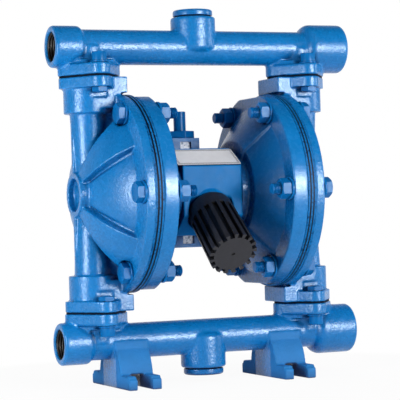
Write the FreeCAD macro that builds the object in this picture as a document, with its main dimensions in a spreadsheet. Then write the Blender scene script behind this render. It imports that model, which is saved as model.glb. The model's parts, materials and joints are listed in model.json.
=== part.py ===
import FreeCAD, Part
import math
import os
import re
import Sketcher

# Air-operated double diaphragm pump, 25 mm class, in millimetres.
# The origin is on the floor under the middle of the pump. X runs along the
# manifolds, Y from front to back (the silencer is at the front) and Z up.

SIZES = {
    # Overall layout
    "centre_height": 170,
    "manifold_spacing": 260,
    "valve_offset": 102.3,
    # Manifold tube and its two threaded ends
    "tube_radius": 15.6,
    "flow_radius": 11.3,
    "small_end_reach": 135.9,
    "small_end_radius": 18.6,
    "small_end_length": 22.9,
    "small_end_shoulder": 4,
    "small_thread_radius": 13.2,
    "small_thread_depth": 19,
    "large_end_reach": 146.6,
    "large_end_radius": 22.3,
    "large_end_length": 30.6,
    "large_end_shoulder": 9,
    "end_rim_round": 2.2,
    "large_thread_radius": 16.6,
    "large_thread_depth": 24,
    "rim_chamfer": 1.2,
    # Middle boss of each manifold and its plug
    "boss_radius": 20.2,
    "boss_outer_reach": 27.5,
    "boss_inner_reach": 4,
    "boss_round": 5,
    "plug_thread_radius": 13,
    "plug_thread_length": 12,
    "plug_head_radius": 17.9,
    "plug_head_height": 5.5,
    "plug_gasket_radius": 16.4,
    "plug_gasket_thickness": 1,
    "plug_socket_width": 12,
    "plug_socket_depth": 6,
    # Valve flanges, between each fluid cover and a manifold
    "flange_joint_height": 102.5,
    "flange_gasket_thickness": 1.5,
    "manifold_flange_thickness": 10,
    "cover_flange_thickness": 9.5,
    "flange_inward_shift": 1.5,
    "flange_corner_radius": 9.5,
    "flange_corner_offset": 19,
    "ear_offset": 28,
    "gasket_setback": 1.2,
    "cover_flange_setback": 0.6,
    "flange_shoulder_height": 4,
    "flange_shoulder_setback": 0.5,
    "flange_shoulder_slant": 16,
    "flange_shoulder_half_depth": 19.4,
    "neck_radius": 17,
    # Ball valves
    "ball_radius": 13,
    "ball_lift": 6,
    "ball_seat_gap": 0.3,
    "cage_radius": 16.5,
    "cage_floor_height": 71,
    "seat_fit_gap": 0.05,
    "seat_thickness": 6,
    "seat_bore_radius": 8,
    "seat_chamfer": 3,
    "stop_fin_thickness": 3,
    "stop_fin_length": 12,
    "stop_fin_inner_radius": 5,
    "stop_gap": 0.4,
    # Feet, cast on the suction manifold
    "foot_offset": 74.6,
    "foot_width": 30.6,
    "foot_half_length": 47,
    "foot_rail_width": 8.5,
    "foot_rail_height": 12,
    "foot_rail_round": 3,
    "saddle_top_half": 17,
    "saddle_bottom_half": 27,
    "saddle_top_drop": 6,
    "saddle_hollow_radius": 40,
    # Fluid covers
    "clamp_plane": 75.4,
    "cover_rim_radius": 88.5,
    "cover_rim_thickness": 8,
    "dome_foot_radius": 65.5,
    "dome_top_radius": 20,
    "dome_top_reach": 111,
    "dome_curve_radius": 134,
    "cover_wall": 6,
    "fan_foot_radius": 75,
    "fan_top_radius": 22,
    "fan_top_reach": 116,
    "fan_curve_radius": 104,
    "fan_angle": 34,
    "fan_middle": 41,
    "fan_groove_angle": 4,
    "fan_groove_depth": 1.8,
    "hub_radius": 19.6,
    "hub_reach": 118.5,
    "hub_pocket_radius": 14.6,
    "hub_pocket_depth": 6,
    "pipe_radius": 16.7,
    "pipe_foot_radius": 14,
    "pipe_start": 16,
    "collar_radius": 21.8,
    "pipe_root_half_depth": 12,
    "shoulder_height": 75,
    "lug_reach": 73,
    "lug_height": 88.3,
    "web_thickness": 5,
    "web_reach": 118.8,
    "chamber_radius": 64,
    "passage_radius": 11,
    "passage_end": 30,
    # Clamped rims of the diaphragms
    "overlay_thickness": 2.9,
    "overlay_radius": 87.6,
    "diaphragm_thickness": 4.7,
    "diaphragm_radius": 87.9,
    # Air covers
    "air_rim_radius": 88,
    "air_rim_thickness": 14,
    "air_cone_foot_radius": 72,
    "air_cone_top_radius": 44,
    "air_cone_top_plane": 36,
    "air_hub_radius": 34,
    "air_flat_height": 84.6,
    "air_chamber_floor": 42,
    "air_chamber_radius": 60,
    "air_floor_radius": 48,
    "bridge_angle": 76,
    "bridge_top_radius": 74,
    "bridge_foot_radius": 46,
    "bridge_foot_plane": 33,
    # Cover bolts, M10, six on each side
    "bolt_circle": 79.5,
    "bolt_count": 6,
    "bolt_radius": 5,
    "bolt_hole_radius": 5.5,
    "bolt_flats": 16,
    "bolt_head_height": 6.4,
    "nut_height": 8.4,
    "washer_radius": 10,
    "washer_thickness": 2,
    "bolt_length": 50,
    "spot_face_radius": 10.5,
    # Manifold bolts, M8 socket heads with nuts
    "cap_bolt_radius": 4,
    "cap_hole_radius": 4.5,
    "cap_head_radius": 6.5,
    "cap_head_height": 8,
    "cap_socket_flats": 6,
    "cap_socket_depth": 4,
    "cap_washer_radius": 8,
    "cap_washer_thickness": 1.6,
    "cap_nut_flats": 13,
    "cap_nut_height": 4.4,
    "cap_bolt_length": 27.6,
    "nut_relief_gap": 0.4,
    "nut_relief_depth": 9,
    # Centre body
    "block_half_width": 28.5,
    "block_half_height": 39,
    "block_back": 35,
    "block_front": 34.2,
    "slope_top_depth": 10.8,
    "slope_top_height": 37.4,
    "slope_bottom_height": 22.7,
    "block_front_bottom": 22,
    "block_bottom_depth": 12,
    # Nameplate
    "plate_length": 61,
    "plate_shift": 2.2,
    "plate_width": 26.8,
    "plate_thickness": 1,
    "plate_corner": 1.5,
    # Silencer and the boss that it screws into
    "muffler_tilt": 38.5,
    "muffler_shift": 2,
    "muffler_end_depth": 78.2,
    "muffler_end_drop": 55.3,
    "muffler_length": 66,
    "muffler_end_radius": 21.7,
    "muffler_collar_radius": 20.2,
    "muffler_collar_length": 17,
    "muffler_collar_round": 6,
    "muffler_fin_count": 17,
    "muffler_slot_depth": 4.2,
    "muffler_slot_width": 4.2,
    "muffler_recess_gap": 1.5,
    "muffler_dimple_radius": 1.6,
    "muffler_stud_radius": 8,
    "muffler_stud_length": 12,
    "outlet_boss_radius": 17.5,
    "outlet_boss_length": 20,
    "exhaust_radius": 5,
    # Air valve on the back
    "valve_depth": 47,
    "valve_half_width": 13.5,
    "valve_half_height": 46.6,
    "valve_back": 60,
    "valve_plate_front": 25,
    "valve_plate_thickness": 3.5,
    "valve_column_width": 8,
    "valve_window_depth": 3,
    "spool_radius": 9,
    "spool_land_length": 9,
    "spool_waist_radius": 5.5,
    "spool_half_length": 34,
    "running_gap": 0.05,
    "valve_screw_radius": 1.5,
    "valve_screw_length": 8,
    "valve_screw_head_radius": 2.5,
    "valve_screw_head_height": 2.2,
    "valve_screw_inset": 3.2,
    "inlet_depth": 38.5,
    "inlet_hexagon_flats": 23,
    "inlet_hexagon_height": 6.8,
    "inlet_passage_radius": 3,
    "inlet_passage_depth": 20,
    "inlet_radius": 5.6,
    "inlet_top": 75,
    "inlet_bore_radius": 3.4,
    "inlet_thread_radius": 4.4,
    "inlet_thread_depth": 10,
    # Shaft and diaphragm plates
    "shaft_radius": 10,
    "stud_radius": 6,
    "stud_end_gap": 2,
    "bush_radius": 13,
    "bush_length": 12,
    "inner_plate_thickness": 6.5,
    "outer_plate_thickness": 7.5,
    "plate_radius": 45,
    "plate_boss_radius": 15,
    "plate_boss_height": 6,
    "plate_lip": 2.5,
    # Pilot rod, pushed by the inner plates near each end of the stroke
    "pilot_offset": 24,
    "pilot_radius": 3,
    "pilot_half_length": 56.1,
    # Screws that hold each air cover to the centre body
    "hub_screw_circle": 28,
    "hub_screw_count": 4,
    "hub_screw_radius": 4,
    "hub_screw_length": 22,
    "hub_screw_head_radius": 6.5,
    "hub_screw_head_height": 7,
}

V = FreeCAD.Vector
DISCHARGE = FreeCAD.Rotation(V(1, 0, 0), 0)
SUCTION = FreeCAD.Rotation(V(1, 0, 0), 180)
RIGHT = FreeCAD.Rotation(V(0, 0, 1), 0)
LEFT = FreeCAD.Rotation(V(0, 0, 1), 180)
UPRIGHT = FreeCAD.Rotation()

doc = FreeCAD.newDocument("diaphragm_pump")
sheet = doc.addObject("Spreadsheet::Sheet", "Sizes")
for row, (alias, amount) in enumerate(SIZES.items(), start=1):
    sheet.set("A%d" % row, alias)
    sheet.set("B%d" % row, str(amount))
    sheet.setAlias("B%d" % row, alias)
doc.recompute()

parts = []


# Formulas name the cells of the sheet
def bound(formula):
    def cell(found):
        word = found.group(0)
        return "Sizes." + word if word in SIZES else word
    return re.sub(r"[A-Za-z_][A-Za-z_0-9]*", cell, str(formula))


def value(formula):
    result = sheet.evalExpression(bound(formula))
    return float(getattr(result, "Value", result))


def bind(thing, prop, formula):
    thing.setExpression(prop, bound(formula))


# A body, its place and its sketches
def new_body(label, at=("0", "0", "centre_height"), turned=UPRIGHT):
    body = doc.addObject("PartDesign::Body", label)
    body.Label = label
    body.Placement = FreeCAD.Placement(V(*[value(number) for number in at]), turned)
    for axis, formula in zip("xyz", at):
        if formula != "0":
            bind(body, "Placement.Base." + axis, formula)
    parts.append(body)
    return body


def attach(body, name, plane, at, tilt=None, spin=None):
    sketch = body.newObject("Sketcher::SketchObject", body.Label + "_" + name)
    origin = [item for item in body.Origin.OriginFeatures if item.Role == plane + "_Plane"]
    sketch.AttachmentSupport = [(origin[0], "")]
    sketch.MapMode = "FlatFace"
    if spin:
        sketch.AttachmentOffset = FreeCAD.Placement(V(), FreeCAD.Rotation(V(1, 0, 0), value(spin)))
        bind(sketch, "AttachmentOffset.Rotation.Angle", spin)
        return sketch
    if not tilt:
        bind(sketch, "AttachmentOffset.Base.z", at)
        return sketch
    height, depth, angle = tilt
    sketch.AttachmentOffset = FreeCAD.Placement(V(), FreeCAD.Rotation(V(1, 0, 0), value(angle)))
    bind(sketch, "AttachmentOffset.Base.y", "%s-(%s)*sin(%s)" % (height, at, angle))
    bind(sketch, "AttachmentOffset.Base.z", "%s+(%s)*cos(%s)" % (depth, at, angle))
    bind(sketch, "AttachmentOffset.Rotation.Angle", angle)
    return sketch


def fix_point(sketch, edge, end, x, y):
    for kind, formula in (("DistanceX", x), ("DistanceY", y)):
        number = sketch.addConstraint(Sketcher.Constraint(kind, -1, 1, edge, end, value(formula)))
        if bound(formula) != str(formula):
            bind(sketch, "Constraints[%d]" % number, formula)


def curve(start, end, radius):
    # The minor arc from start to end; a positive radius has its centre on the left.
    chord = end - start
    left = V(-chord.y, chord.x, 0) / chord.Length
    rise = math.sqrt(max(radius ** 2 - chord.Length ** 2 / 4, 0))
    side = math.copysign(1, radius)
    centre = (start + end) / 2 + left * rise * side
    return Part.Arc(start, centre - left * abs(radius) * side, end)


def draw_outline(sketch, corners):
    points = [V(value(corner[0]), value(corner[1]), 0) for corner in corners]
    ends = []
    for number, corner in enumerate(corners):
        start = points[number]
        end = points[(number + 1) % len(points)]
        if len(corner) == 2:
            edge = sketch.addGeometry(Part.LineSegment(start, end), False)
            ends.append((edge, 1, 2))
            continue
        radius = value(corner[2])
        edge = sketch.addGeometry(curve(start, end, radius), False)
        ends.append((edge, 1, 2) if radius > 0 else (edge, 2, 1))
    for number, (edge, first, last) in enumerate(ends):
        following = ends[(number + 1) % len(ends)]
        sketch.addConstraint(Sketcher.Constraint("Coincident", edge, last, following[0], following[1]))
    for (edge, first, last), corner in zip(ends, corners):
        fix_point(sketch, edge, first, corner[0], corner[1])
        if len(corner) == 3:
            radius = value(corner[2])
            number = sketch.addConstraint(Sketcher.Constraint("Radius", edge, abs(radius)))
            formula = corner[2] if radius > 0 else "-(%s)" % corner[2]
            bind(sketch, "Constraints[%d]" % number, formula)


def draw_circle(sketch, x, y, radius):
    centre = V(value(x), value(y), 0)
    edge = sketch.addGeometry(Part.Circle(centre, V(0, 0, 1), value(radius)), False)
    fix_point(sketch, edge, 3, x, y)
    number = sketch.addConstraint(Sketcher.Constraint("Radius", edge, value(radius)))
    bind(sketch, "Constraints[%d]" % number, radius)


# Shapes that a sketch may hold
def circle(x, y, radius):
    return ("circle", x, y, radius)


def rectangle(x_low, y_low, x_high, y_high):
    return [(x_low, y_low), (x_high, y_low), (x_high, y_high), (x_low, y_high)]


def hexagon(x, y, flats):
    corners = []
    for number in range(6):
        angle = 60 * number + 30
        reach = "(%s)/2/cos(30)" % flats
        corners.append(("%s+%s*cos(%d)" % (x, reach, angle), "%s+%s*sin(%d)" % (y, reach, angle)))
    return corners


def lozenge(x, radius, half_width, half_length):
    # Four equal rounded corners, on both axes, joined by their common tangents.
    side = "sqrt(%s^2+%s^2)" % (half_width, half_length)
    across = "%s*%s/%s" % (radius, half_length, side)
    along = "%s*%s/%s" % (radius, half_width, side)
    return [("%s+%s+%s" % (x, half_width, across), "-(%s)" % along, radius),
            ("%s+%s+%s" % (x, half_width, across), along),
            ("%s+%s" % (x, across), "%s+%s" % (half_length, along), radius),
            ("%s-%s" % (x, across), "%s+%s" % (half_length, along)),
            ("%s-%s-%s" % (x, half_width, across), along, radius),
            ("%s-%s-%s" % (x, half_width, across), "-(%s)" % along),
            ("%s-%s" % (x, across), "-(%s)-%s" % (half_length, along), radius),
            ("%s+%s" % (x, across), "-(%s)-%s" % (half_length, along))]


def shoulder(x, radius, half_width, half_length, half_depth):
    # The lozenge with its two long corners cut off level.
    side = "sqrt(%s^2+%s^2)" % (half_width, half_length)
    across = "%s+%s*%s/%s" % (half_width, radius, half_length, side)
    along = "%s*%s/%s" % (radius, half_width, side)
    cut = "%s+(%s*%s-%s*%s)/%s" % (half_width, radius, side, half_depth, half_width, half_length)
    return [("%s+%s" % (x, across), "-(%s)" % along, radius), ("%s+%s" % (x, across), along),
            ("%s+%s" % (x, cut), half_depth), ("%s-(%s)" % (x, cut), half_depth),
            ("%s-(%s)" % (x, across), along, radius), ("%s-(%s)" % (x, across), "-(%s)" % along),
            ("%s-(%s)" % (x, cut), "-" + half_depth), ("%s+%s" % (x, cut), "-" + half_depth)]


def rounded_rectangle(x, half_width, half_depth, corner):
    left, right = "%s-%s" % (x, half_width), "%s+%s" % (x, half_width)
    low, high = "-(%s)" % half_depth, half_depth
    return [("%s+%s" % (left, corner), low), ("%s-%s" % (right, corner), low, corner),
            (right, "%s+%s" % (low, corner)), (right, "%s-%s" % (high, corner), corner),
            ("%s-%s" % (right, corner), high), ("%s+%s" % (left, corner), high, corner),
            (left, "%s-%s" % (high, corner)), (left, "%s+%s" % (low, corner), corner)]


def draw(sketch, shapes):
    for shape in shapes:
        if shape[0] == "circle":
            draw_circle(sketch, *shape[1:])
        else:
            draw_outline(sketch, shape)


# Features: each adds to the body or, with cut, takes away from it
def finish_feature(body, feature, cut, before):
    doc.recompute()
    if "Invalid" in feature.State or "Error" in feature.State or feature.Shape.isNull():
        raise RuntimeError("%s failed" % feature.Name)
    change = feature.Shape.Volume - before
    if (cut and change > -1e-6) or (not cut and change < 1e-6):
        raise RuntimeError("%s changes nothing" % feature.Name)
    return feature


def volume_of(body):
    return 0 if body.Tip is None or body.Shape.isNull() else body.Shape.Volume


def extrude(body, name, plane, shapes, length, at="0", cut=False, both=False, tilt=None, taper=None,
            back=False):
    # The solid runs from the plane at the offset along the plane's normal, or
    # back from it. A tilt gives a point's height and depth and the normal's
    # angle below level.
    before = volume_of(body)
    sketch = attach(body, name + "_sketch", plane, at, tilt)
    draw(sketch, shapes)
    kind = "PartDesign::Pocket" if cut else "PartDesign::Pad"
    feature = body.newObject(kind, body.Label + "_" + name)
    feature.Profile = sketch
    bind(feature, "Length", length)
    feature.Midplane = both
    feature.Reversed = back or (cut and not both)
    if taper:
        bind(feature, "TaperAngle", taper)
    return finish_feature(body, feature, cut, before)


def turn(body, name, plane, corners, axis="H_Axis", angle="360", cut=False, spin=None):
    # The outline turns round a sketch axis, evenly to both sides of its plane,
    # which a spin first turns about the sketch's level axis.
    before = volume_of(body)
    sketch = attach(body, name + "_sketch", plane, "0", spin=spin)
    draw_outline(sketch, corners)
    kind = "PartDesign::Groove" if cut else "PartDesign::Revolution"
    feature = body.newObject(kind, body.Label + "_" + name)
    feature.Profile = sketch
    feature.ReferenceAxis = (sketch, [axis])
    bind(feature, "Angle", angle)
    feature.Midplane = True
    return finish_feature(body, feature, cut, before)


def edges_where(body, test):
    shape = body.Tip.Shape
    return ["Edge%d" % (number + 1) for number, edge in enumerate(shape.Edges) if test(edge)]


def dress(body, name, kind, test, size_name, formula):
    # Rounds or bevels the edges that the test picks.
    names = edges_where(body, test)
    if not names:
        raise RuntimeError("%s finds no edge" % name)
    tip = body.Tip
    feature = body.newObject("PartDesign::" + kind, body.Label + "_" + name)
    feature.Base = (tip, names)
    bind(feature, size_name, formula)
    doc.recompute()
    if "Invalid" in feature.State or feature.Shape.isNull() or not feature.Shape.isValid():
        raise RuntimeError("%s failed" % feature.Name)
    return feature


def round_edges(body, name, test, radius):
    return dress(body, name, "Fillet", test, "Radius", radius)


def bevel_edges(body, name, test, amount):
    return dress(body, name, "Chamfer", test, "Size", amount)


def is_circle(edge, radius):
    found = edge.Curve
    return isinstance(found, Part.Circle) and abs(found.Radius - radius) < 1e-4


# A node of equal loose pieces, each a copy of one pattern body
def copies(label, pattern, places):
    node = doc.addObject("Part::Feature", label)
    node.Label = label
    node.Shape = Part.makeCompound([pattern.Shape.transformed(place.toMatrix(), True) for place in places])
    parts.append(node)
    return node


def pattern_body(label):
    body = new_body(label, ("0", "0", "0"))
    parts.remove(body)
    return body


# Places that several pieces share
def side_turn(side):
    return RIGHT if side > 0 else LEFT


def circle_places(count, circle_radius, side, first=0.0):
    places = []
    for number in range(int(round(value(count)))):
        angle = math.radians(first + 360.0 * number / value(count))
        offset = V(0, -value(circle_radius) * math.cos(angle), value(circle_radius) * math.sin(angle))
        base = V(0, 0, value("centre_height"))
        place = FreeCAD.Placement(base, side_turn(side)).multiply(FreeCAD.Placement(offset, UPRIGHT))
        places.append(place)
    return places


def bolt_circles(count, circle_radius, radius, first=0.0):
    shapes = []
    for number in range(int(round(value(count)))):
        angle = first + 360.0 * number / value(count)
        shapes.append(circle("-(%s)*cos(%.6f)" % (circle_radius, angle),
                             "(%s)*sin(%.6f)" % (circle_radius, angle), radius))
    return shapes


FLANGE_CENTRE = "(valve_offset-flange_inward_shift)"


def flange_outline(x, setback="0"):
    return lozenge(x, "(flange_corner_radius-%s)" % setback, "flange_corner_offset", "ear_offset")


def ear_circles(radius, x=FLANGE_CENTRE):
    return [circle(x, "-ear_offset", radius), circle(x, "ear_offset", radius)]


# Heights of the balls and their stops, measured from the pump's middle. The
# ball rests on the seat's 45 degree chamfer.
BALL_ABOVE_SEAT = "(sqrt(2)*(ball_radius+ball_seat_gap)-seat_bore_radius-seat_chamfer)"
DISCHARGE_BALL = "(cage_floor_height+seat_thickness+%s)" % BALL_ABOVE_SEAT
SUCTION_BALL = "(flange_joint_height-seat_thickness-%s)" % BALL_ABOVE_SEAT
DISCHARGE_STOP = "(%s+ball_lift+ball_radius+stop_gap)" % DISCHARGE_BALL
SUCTION_STOP = "(%s-ball_lift-ball_radius-stop_gap)" % SUCTION_BALL


# Manifold, in a frame on its tube's axis with +Z away from the pump's middle
def flow_bore(body):
    turn(body, "flow_bore", "XZ", [
        ("-small_end_reach-1", "0"),
        ("-small_end_reach-1", "small_thread_radius"),
        ("-small_end_reach+small_thread_depth", "small_thread_radius"),
        ("-small_end_reach+small_thread_depth+(small_thread_radius-flow_radius)", "flow_radius"),
        ("large_end_reach-large_thread_depth-(large_thread_radius-flow_radius)", "flow_radius"),
        ("large_end_reach-large_thread_depth", "large_thread_radius"),
        ("large_end_reach+1", "large_thread_radius"),
        ("large_end_reach+1", "0")], cut=True)


def manifold(label, turned, height, with_feet):
    body = new_body(label, ("0", "0", height), turned)
    turn(body, "tube", "XZ", [
        ("-small_end_reach", "0"),
        ("-small_end_reach", "small_end_radius-end_rim_round", "-end_rim_round"),
        ("-small_end_reach+end_rim_round", "small_end_radius"),
        ("-small_end_reach+small_end_length", "small_end_radius", "-small_end_shoulder"),
        ("-small_end_reach+small_end_length+small_end_shoulder", "tube_radius"),
        ("large_end_reach-large_end_length-large_end_shoulder", "tube_radius", "-large_end_shoulder"),
        ("large_end_reach-large_end_length", "large_end_radius"),
        ("large_end_reach-end_rim_round", "large_end_radius", "-end_rim_round"),
        ("large_end_reach", "large_end_radius-end_rim_round"),
        ("large_end_reach", "0")])
    flange_face = "flange_joint_height+flange_gasket_thickness-manifold_spacing/2"
    for side, sign in (("left", "-"), ("right", "")):
        axis = sign + "valve_offset"
        extrude(body, side + "_neck", "XY", [circle(axis, "0", "neck_radius")],
                "-(%s)" % flange_face, at=flange_face)
        extrude(body, side + "_flange", "XY", [flange_outline(sign + FLANGE_CENTRE)],
                "manifold_flange_thickness", at=flange_face)
        extrude(body, side + "_shoulder", "XY",
                [shoulder(sign + FLANGE_CENTRE, "(flange_corner_radius-flange_shoulder_setback)",
                          "flange_corner_offset", "flange_shoulder_slant", "flange_shoulder_half_depth")],
                "flange_shoulder_height", at=flange_face + "+manifold_flange_thickness")
    extrude(body, "boss", "XY", [circle("0", "0", "boss_radius")],
            "boss_outer_reach+boss_inner_reach", at="-boss_inner_reach")
    round_edges(body, "boss_rounding",
                lambda edge: is_circle(edge, value("boss_radius")) and edge.CenterOfMass.z < 0, "boss_round")
    bevel_edges(body, "boss_bevel",
                lambda edge: is_circle(edge, value("boss_radius")) and edge.CenterOfMass.z > 20, "rim_chamfer")
    if with_feet:
        add_feet(body)
    flow_bore(body)
    extrude(body, "plug_hole", "XY", [circle("0", "0", "plug_thread_radius")],
            "boss_outer_reach+1", at="0", cut=True)
    for side, sign in (("left", "-"), ("right", "")):
        axis = sign + "valve_offset"
        extrude(body, side + "_passage", "XY", [circle(axis, "0", "flow_radius")],
                "-(%s)+1" % flange_face, at=flange_face + "-1", cut=True)
        extrude(body, side + "_bolt_holes", "XY", ear_circles("cap_hole_radius", sign + FLANGE_CENTRE),
                "manifold_flange_thickness+2", at=flange_face + "-1", cut=True)
        if not with_feet:
            add_stop_fins(body, side, axis, DISCHARGE_STOP + "-manifold_spacing/2", "flow_radius")
    return body


def add_stop_fins(body, name, axis, low, bore):
    # Fins that stop the lifted ball short of the bore, with the flow between them.
    extrude(body, name + "_stop_rib", "XY",
            [rectangle("%s-%s-1" % (axis, bore), "-stop_fin_thickness/2",
                       "%s-stop_fin_inner_radius" % axis, "stop_fin_thickness/2"),
             rectangle("%s+stop_fin_inner_radius" % axis, "-stop_fin_thickness/2",
                       "%s+%s+1" % (axis, bore), "stop_fin_thickness/2")],
            "stop_fin_length", at=low)


def add_feet(body):
    floor = "centre_height-manifold_spacing/2"
    rail_top = floor + "-foot_rail_height"
    for side, sign in (("left", "-"), ("right", "")):
        low = "%sfoot_offset-foot_width/2" % sign
        extrude(body, side + "_saddle", "YZ", [[
            ("-saddle_top_half", "0"),
            ("-saddle_top_half", "saddle_top_drop", "-saddle_hollow_radius"),
            ("-saddle_bottom_half", rail_top),
            ("saddle_bottom_half", rail_top, "-saddle_hollow_radius"),
            ("saddle_top_half", "saddle_top_drop"),
            ("saddle_top_half", "0")]], "foot_width", at=low)
        for number, edge in enumerate((low, "%sfoot_offset+foot_width/2-foot_rail_width" % sign)):
            extrude(body, "%s_rail_%d" % (side, number + 1), "YZ", [[
                ("foot_half_length", floor),
                ("-foot_half_length", floor),
                ("-foot_half_length", rail_top + "+foot_rail_round", "-foot_rail_round"),
                ("-foot_half_length+foot_rail_round", rail_top),
                ("foot_half_length-foot_rail_round", rail_top, "-foot_rail_round"),
                ("foot_half_length", rail_top + "+foot_rail_round")]],
                "foot_rail_width", at=edge)


# Fluid cover, in a frame on the pump's middle with +X outwards
def fluid_cover(label, side):
    body = new_body(label, turned=side_turn(side))
    rim_plane = "clamp_plane+cover_rim_thickness"
    turn(body, "dome", "XZ", [
        ("clamp_plane", "0"),
        ("clamp_plane", "cover_rim_radius"),
        (rim_plane, "cover_rim_radius"),
        (rim_plane, "dome_foot_radius", "-dome_curve_radius"),
        ("dome_top_reach", "dome_top_radius"),
        ("hub_reach", "hub_radius"),
        ("hub_reach", "0")])
    add_fans(body, rim_plane)
    for name, up in (("upper", True), ("lower", False)):
        add_valve_port(body, name, up)
    extrude(body, "spot_faces", "YZ", bolt_circles("bolt_count", "bolt_circle", "spot_face_radius"),
            "cover_rim_thickness*2", at=rim_plane, cut=True)
    for name, up in (("upper", True), ("lower", False)):
        cut_valve_port(body, name, up)
    inner_top = "hub_reach-hub_pocket_depth-cover_wall*1.2"
    turn(body, "chamber", "XZ", [
        ("clamp_plane-1", "0"),
        ("clamp_plane-1", "chamber_radius"),
        ("clamp_plane+1", "chamber_radius"),
        (rim_plane + "-cover_wall", "dome_foot_radius-1", "-(dome_curve_radius-cover_wall)"),
        (inner_top, "dome_top_radius"),
        (inner_top, "0")], cut=True)
    extrude(body, "hub_pocket", "YZ", [circle("0", "0", "hub_pocket_radius")],
            "hub_pocket_depth+1", at="hub_reach-hub_pocket_depth", cut=True)
    extrude(body, "bolt_holes", "YZ", bolt_circles("bolt_count", "bolt_circle", "bolt_hole_radius"),
            "cover_rim_thickness+2", at="clamp_plane-1", cut=True)
    add_stop_fins_below(body)
    return body


def add_fans(body, rim_plane):
    # Four raised fans beside the two pipes, each with a groove on its level side.
    outline = [
        (rim_plane, "fan_foot_radius", "-fan_curve_radius"),
        ("fan_top_reach", "fan_top_radius"),
        ("fan_top_reach", "hub_radius/2"),
        (rim_plane, "hub_radius/2")]
    groove = [
        (rim_plane, "dome_foot_radius", "-(dome_curve_radius-fan_groove_depth)"),
        ("dome_top_reach-fan_groove_depth", "dome_top_radius"),
        ("web_reach", "dome_top_radius"),
        ("web_reach", "fan_foot_radius"),
        (rim_plane, "fan_foot_radius")]
    beside = "fan_middle+fan_angle/2+fan_groove_angle/2"
    for number, (turned, side) in enumerate((("0", ""), ("0", "-"), ("180", ""), ("180", "-")), start=1):
        turn(body, "fan_%d" % number, "XZ", outline, angle="fan_angle",
             spin="%s+%s(fan_middle)" % (turned, side))
    for number, (turned, side) in enumerate((("0", ""), ("0", "-"), ("180", ""), ("180", "-")), start=1):
        turn(body, "groove_%d" % number, "XZ", groove, angle="fan_groove_angle", cut=True,
             spin="%s+%s(%s)" % (turned, side, beside))


def span(up, low, length):
    # Start of a feature that runs from low for length, above or below the middle.
    return low if up else "-(%s)-(%s)" % (low, length)


def add_valve_port(body, name, up):
    pipe = "cage_floor_height-pipe_start"
    taper = "atan((pipe_radius-pipe_foot_radius)/(%s))" % pipe
    extrude(body, name + "_pipe", "XY", [circle("valve_offset", "0", "pipe_radius")],
            pipe, at="%scage_floor_height" % ("" if up else "-"), back=up, taper="-" + taper)
    flange_low = "flange_joint_height-cover_flange_thickness"
    collar = "%s-cage_floor_height" % flange_low
    extrude(body, name + "_collar", "XY", [circle("valve_offset", "0", "collar_radius")],
            collar, at=span(up, "cage_floor_height", collar))
    root = "shoulder_height-pipe_start"
    extrude(body, name + "_root", "XY",
            [rectangle("clamp_plane+cover_rim_thickness/2", "-pipe_root_half_depth",
                       "valve_offset", "pipe_root_half_depth")],
            root, at=span(up, "pipe_start", root))
    shoulder = "lug_height-shoulder_height"
    extrude(body, name + "_shoulder", "XY",
            [rectangle("clamp_plane+cover_rim_thickness/2", "-collar_radius",
                       "valve_offset", "collar_radius")],
            shoulder, at=span(up, "shoulder_height", shoulder))
    lug = "flange_joint_height-lug_height"
    extrude(body, name + "_lug", "XY", [rectangle("lug_reach", "-collar_radius", "valve_offset", "collar_radius")],
            lug, at=span(up, "lug_height", lug))
    extrude(body, name + "_flange", "XY", [flange_outline(FLANGE_CENTRE, "cover_flange_setback")],
            "cover_flange_thickness", at=span(up, flange_low, "cover_flange_thickness"))
    sign = "" if up else "-"
    extrude(body, name + "_web", "XZ", [[
        ("valve_offset", sign + "pipe_start"),
        ("hub_reach", sign + "pipe_start"),
        ("web_reach", sign + "(pipe_start+hub_pocket_depth)"),
        ("web_reach", sign + "cage_floor_height"),
        ("valve_offset", sign + "cage_floor_height")]], "web_thickness", both=True)


def cut_valve_port(body, name, up):
    cage = "flange_joint_height-cage_floor_height+1"
    extrude(body, name + "_cage", "XY", [circle("valve_offset", "0", "cage_radius")],
            cage, at=span(up, "cage_floor_height", cage), cut=True)
    passage = "cage_floor_height-passage_end+1"
    extrude(body, name + "_passage", "XY", [circle("valve_offset", "0", "passage_radius")],
            passage, at=span(up, "passage_end", passage), cut=True)
    low = "flange_joint_height-cover_flange_thickness-1"
    holes = "cover_flange_thickness+2"
    extrude(body, name + "_flange_holes", "XY", ear_circles("cap_hole_radius"),
            holes, at=span(up, low, holes), cut=True)
    relief_low = "flange_joint_height-cover_flange_thickness-nut_relief_depth"
    near = "(ear_offset-cap_nut_flats/2-nut_relief_gap)"
    left, right = FLANGE_CENTRE + "-cap_nut_flats*0.7", FLANGE_CENTRE + "+cap_nut_flats*0.7"
    extrude(body, name + "_nut_relief", "XY",
            [rectangle(left, near, right, "ear_offset*2"), rectangle(left, "-ear_offset*2", right, "-" + near)],
            "nut_relief_depth", at=span(up, relief_low, "nut_relief_depth"), cut=True)


def add_stop_fins_below(body):
    add_stop_fins(body, "suction", "valve_offset", "-" + SUCTION_STOP, "passage_radius")


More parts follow.
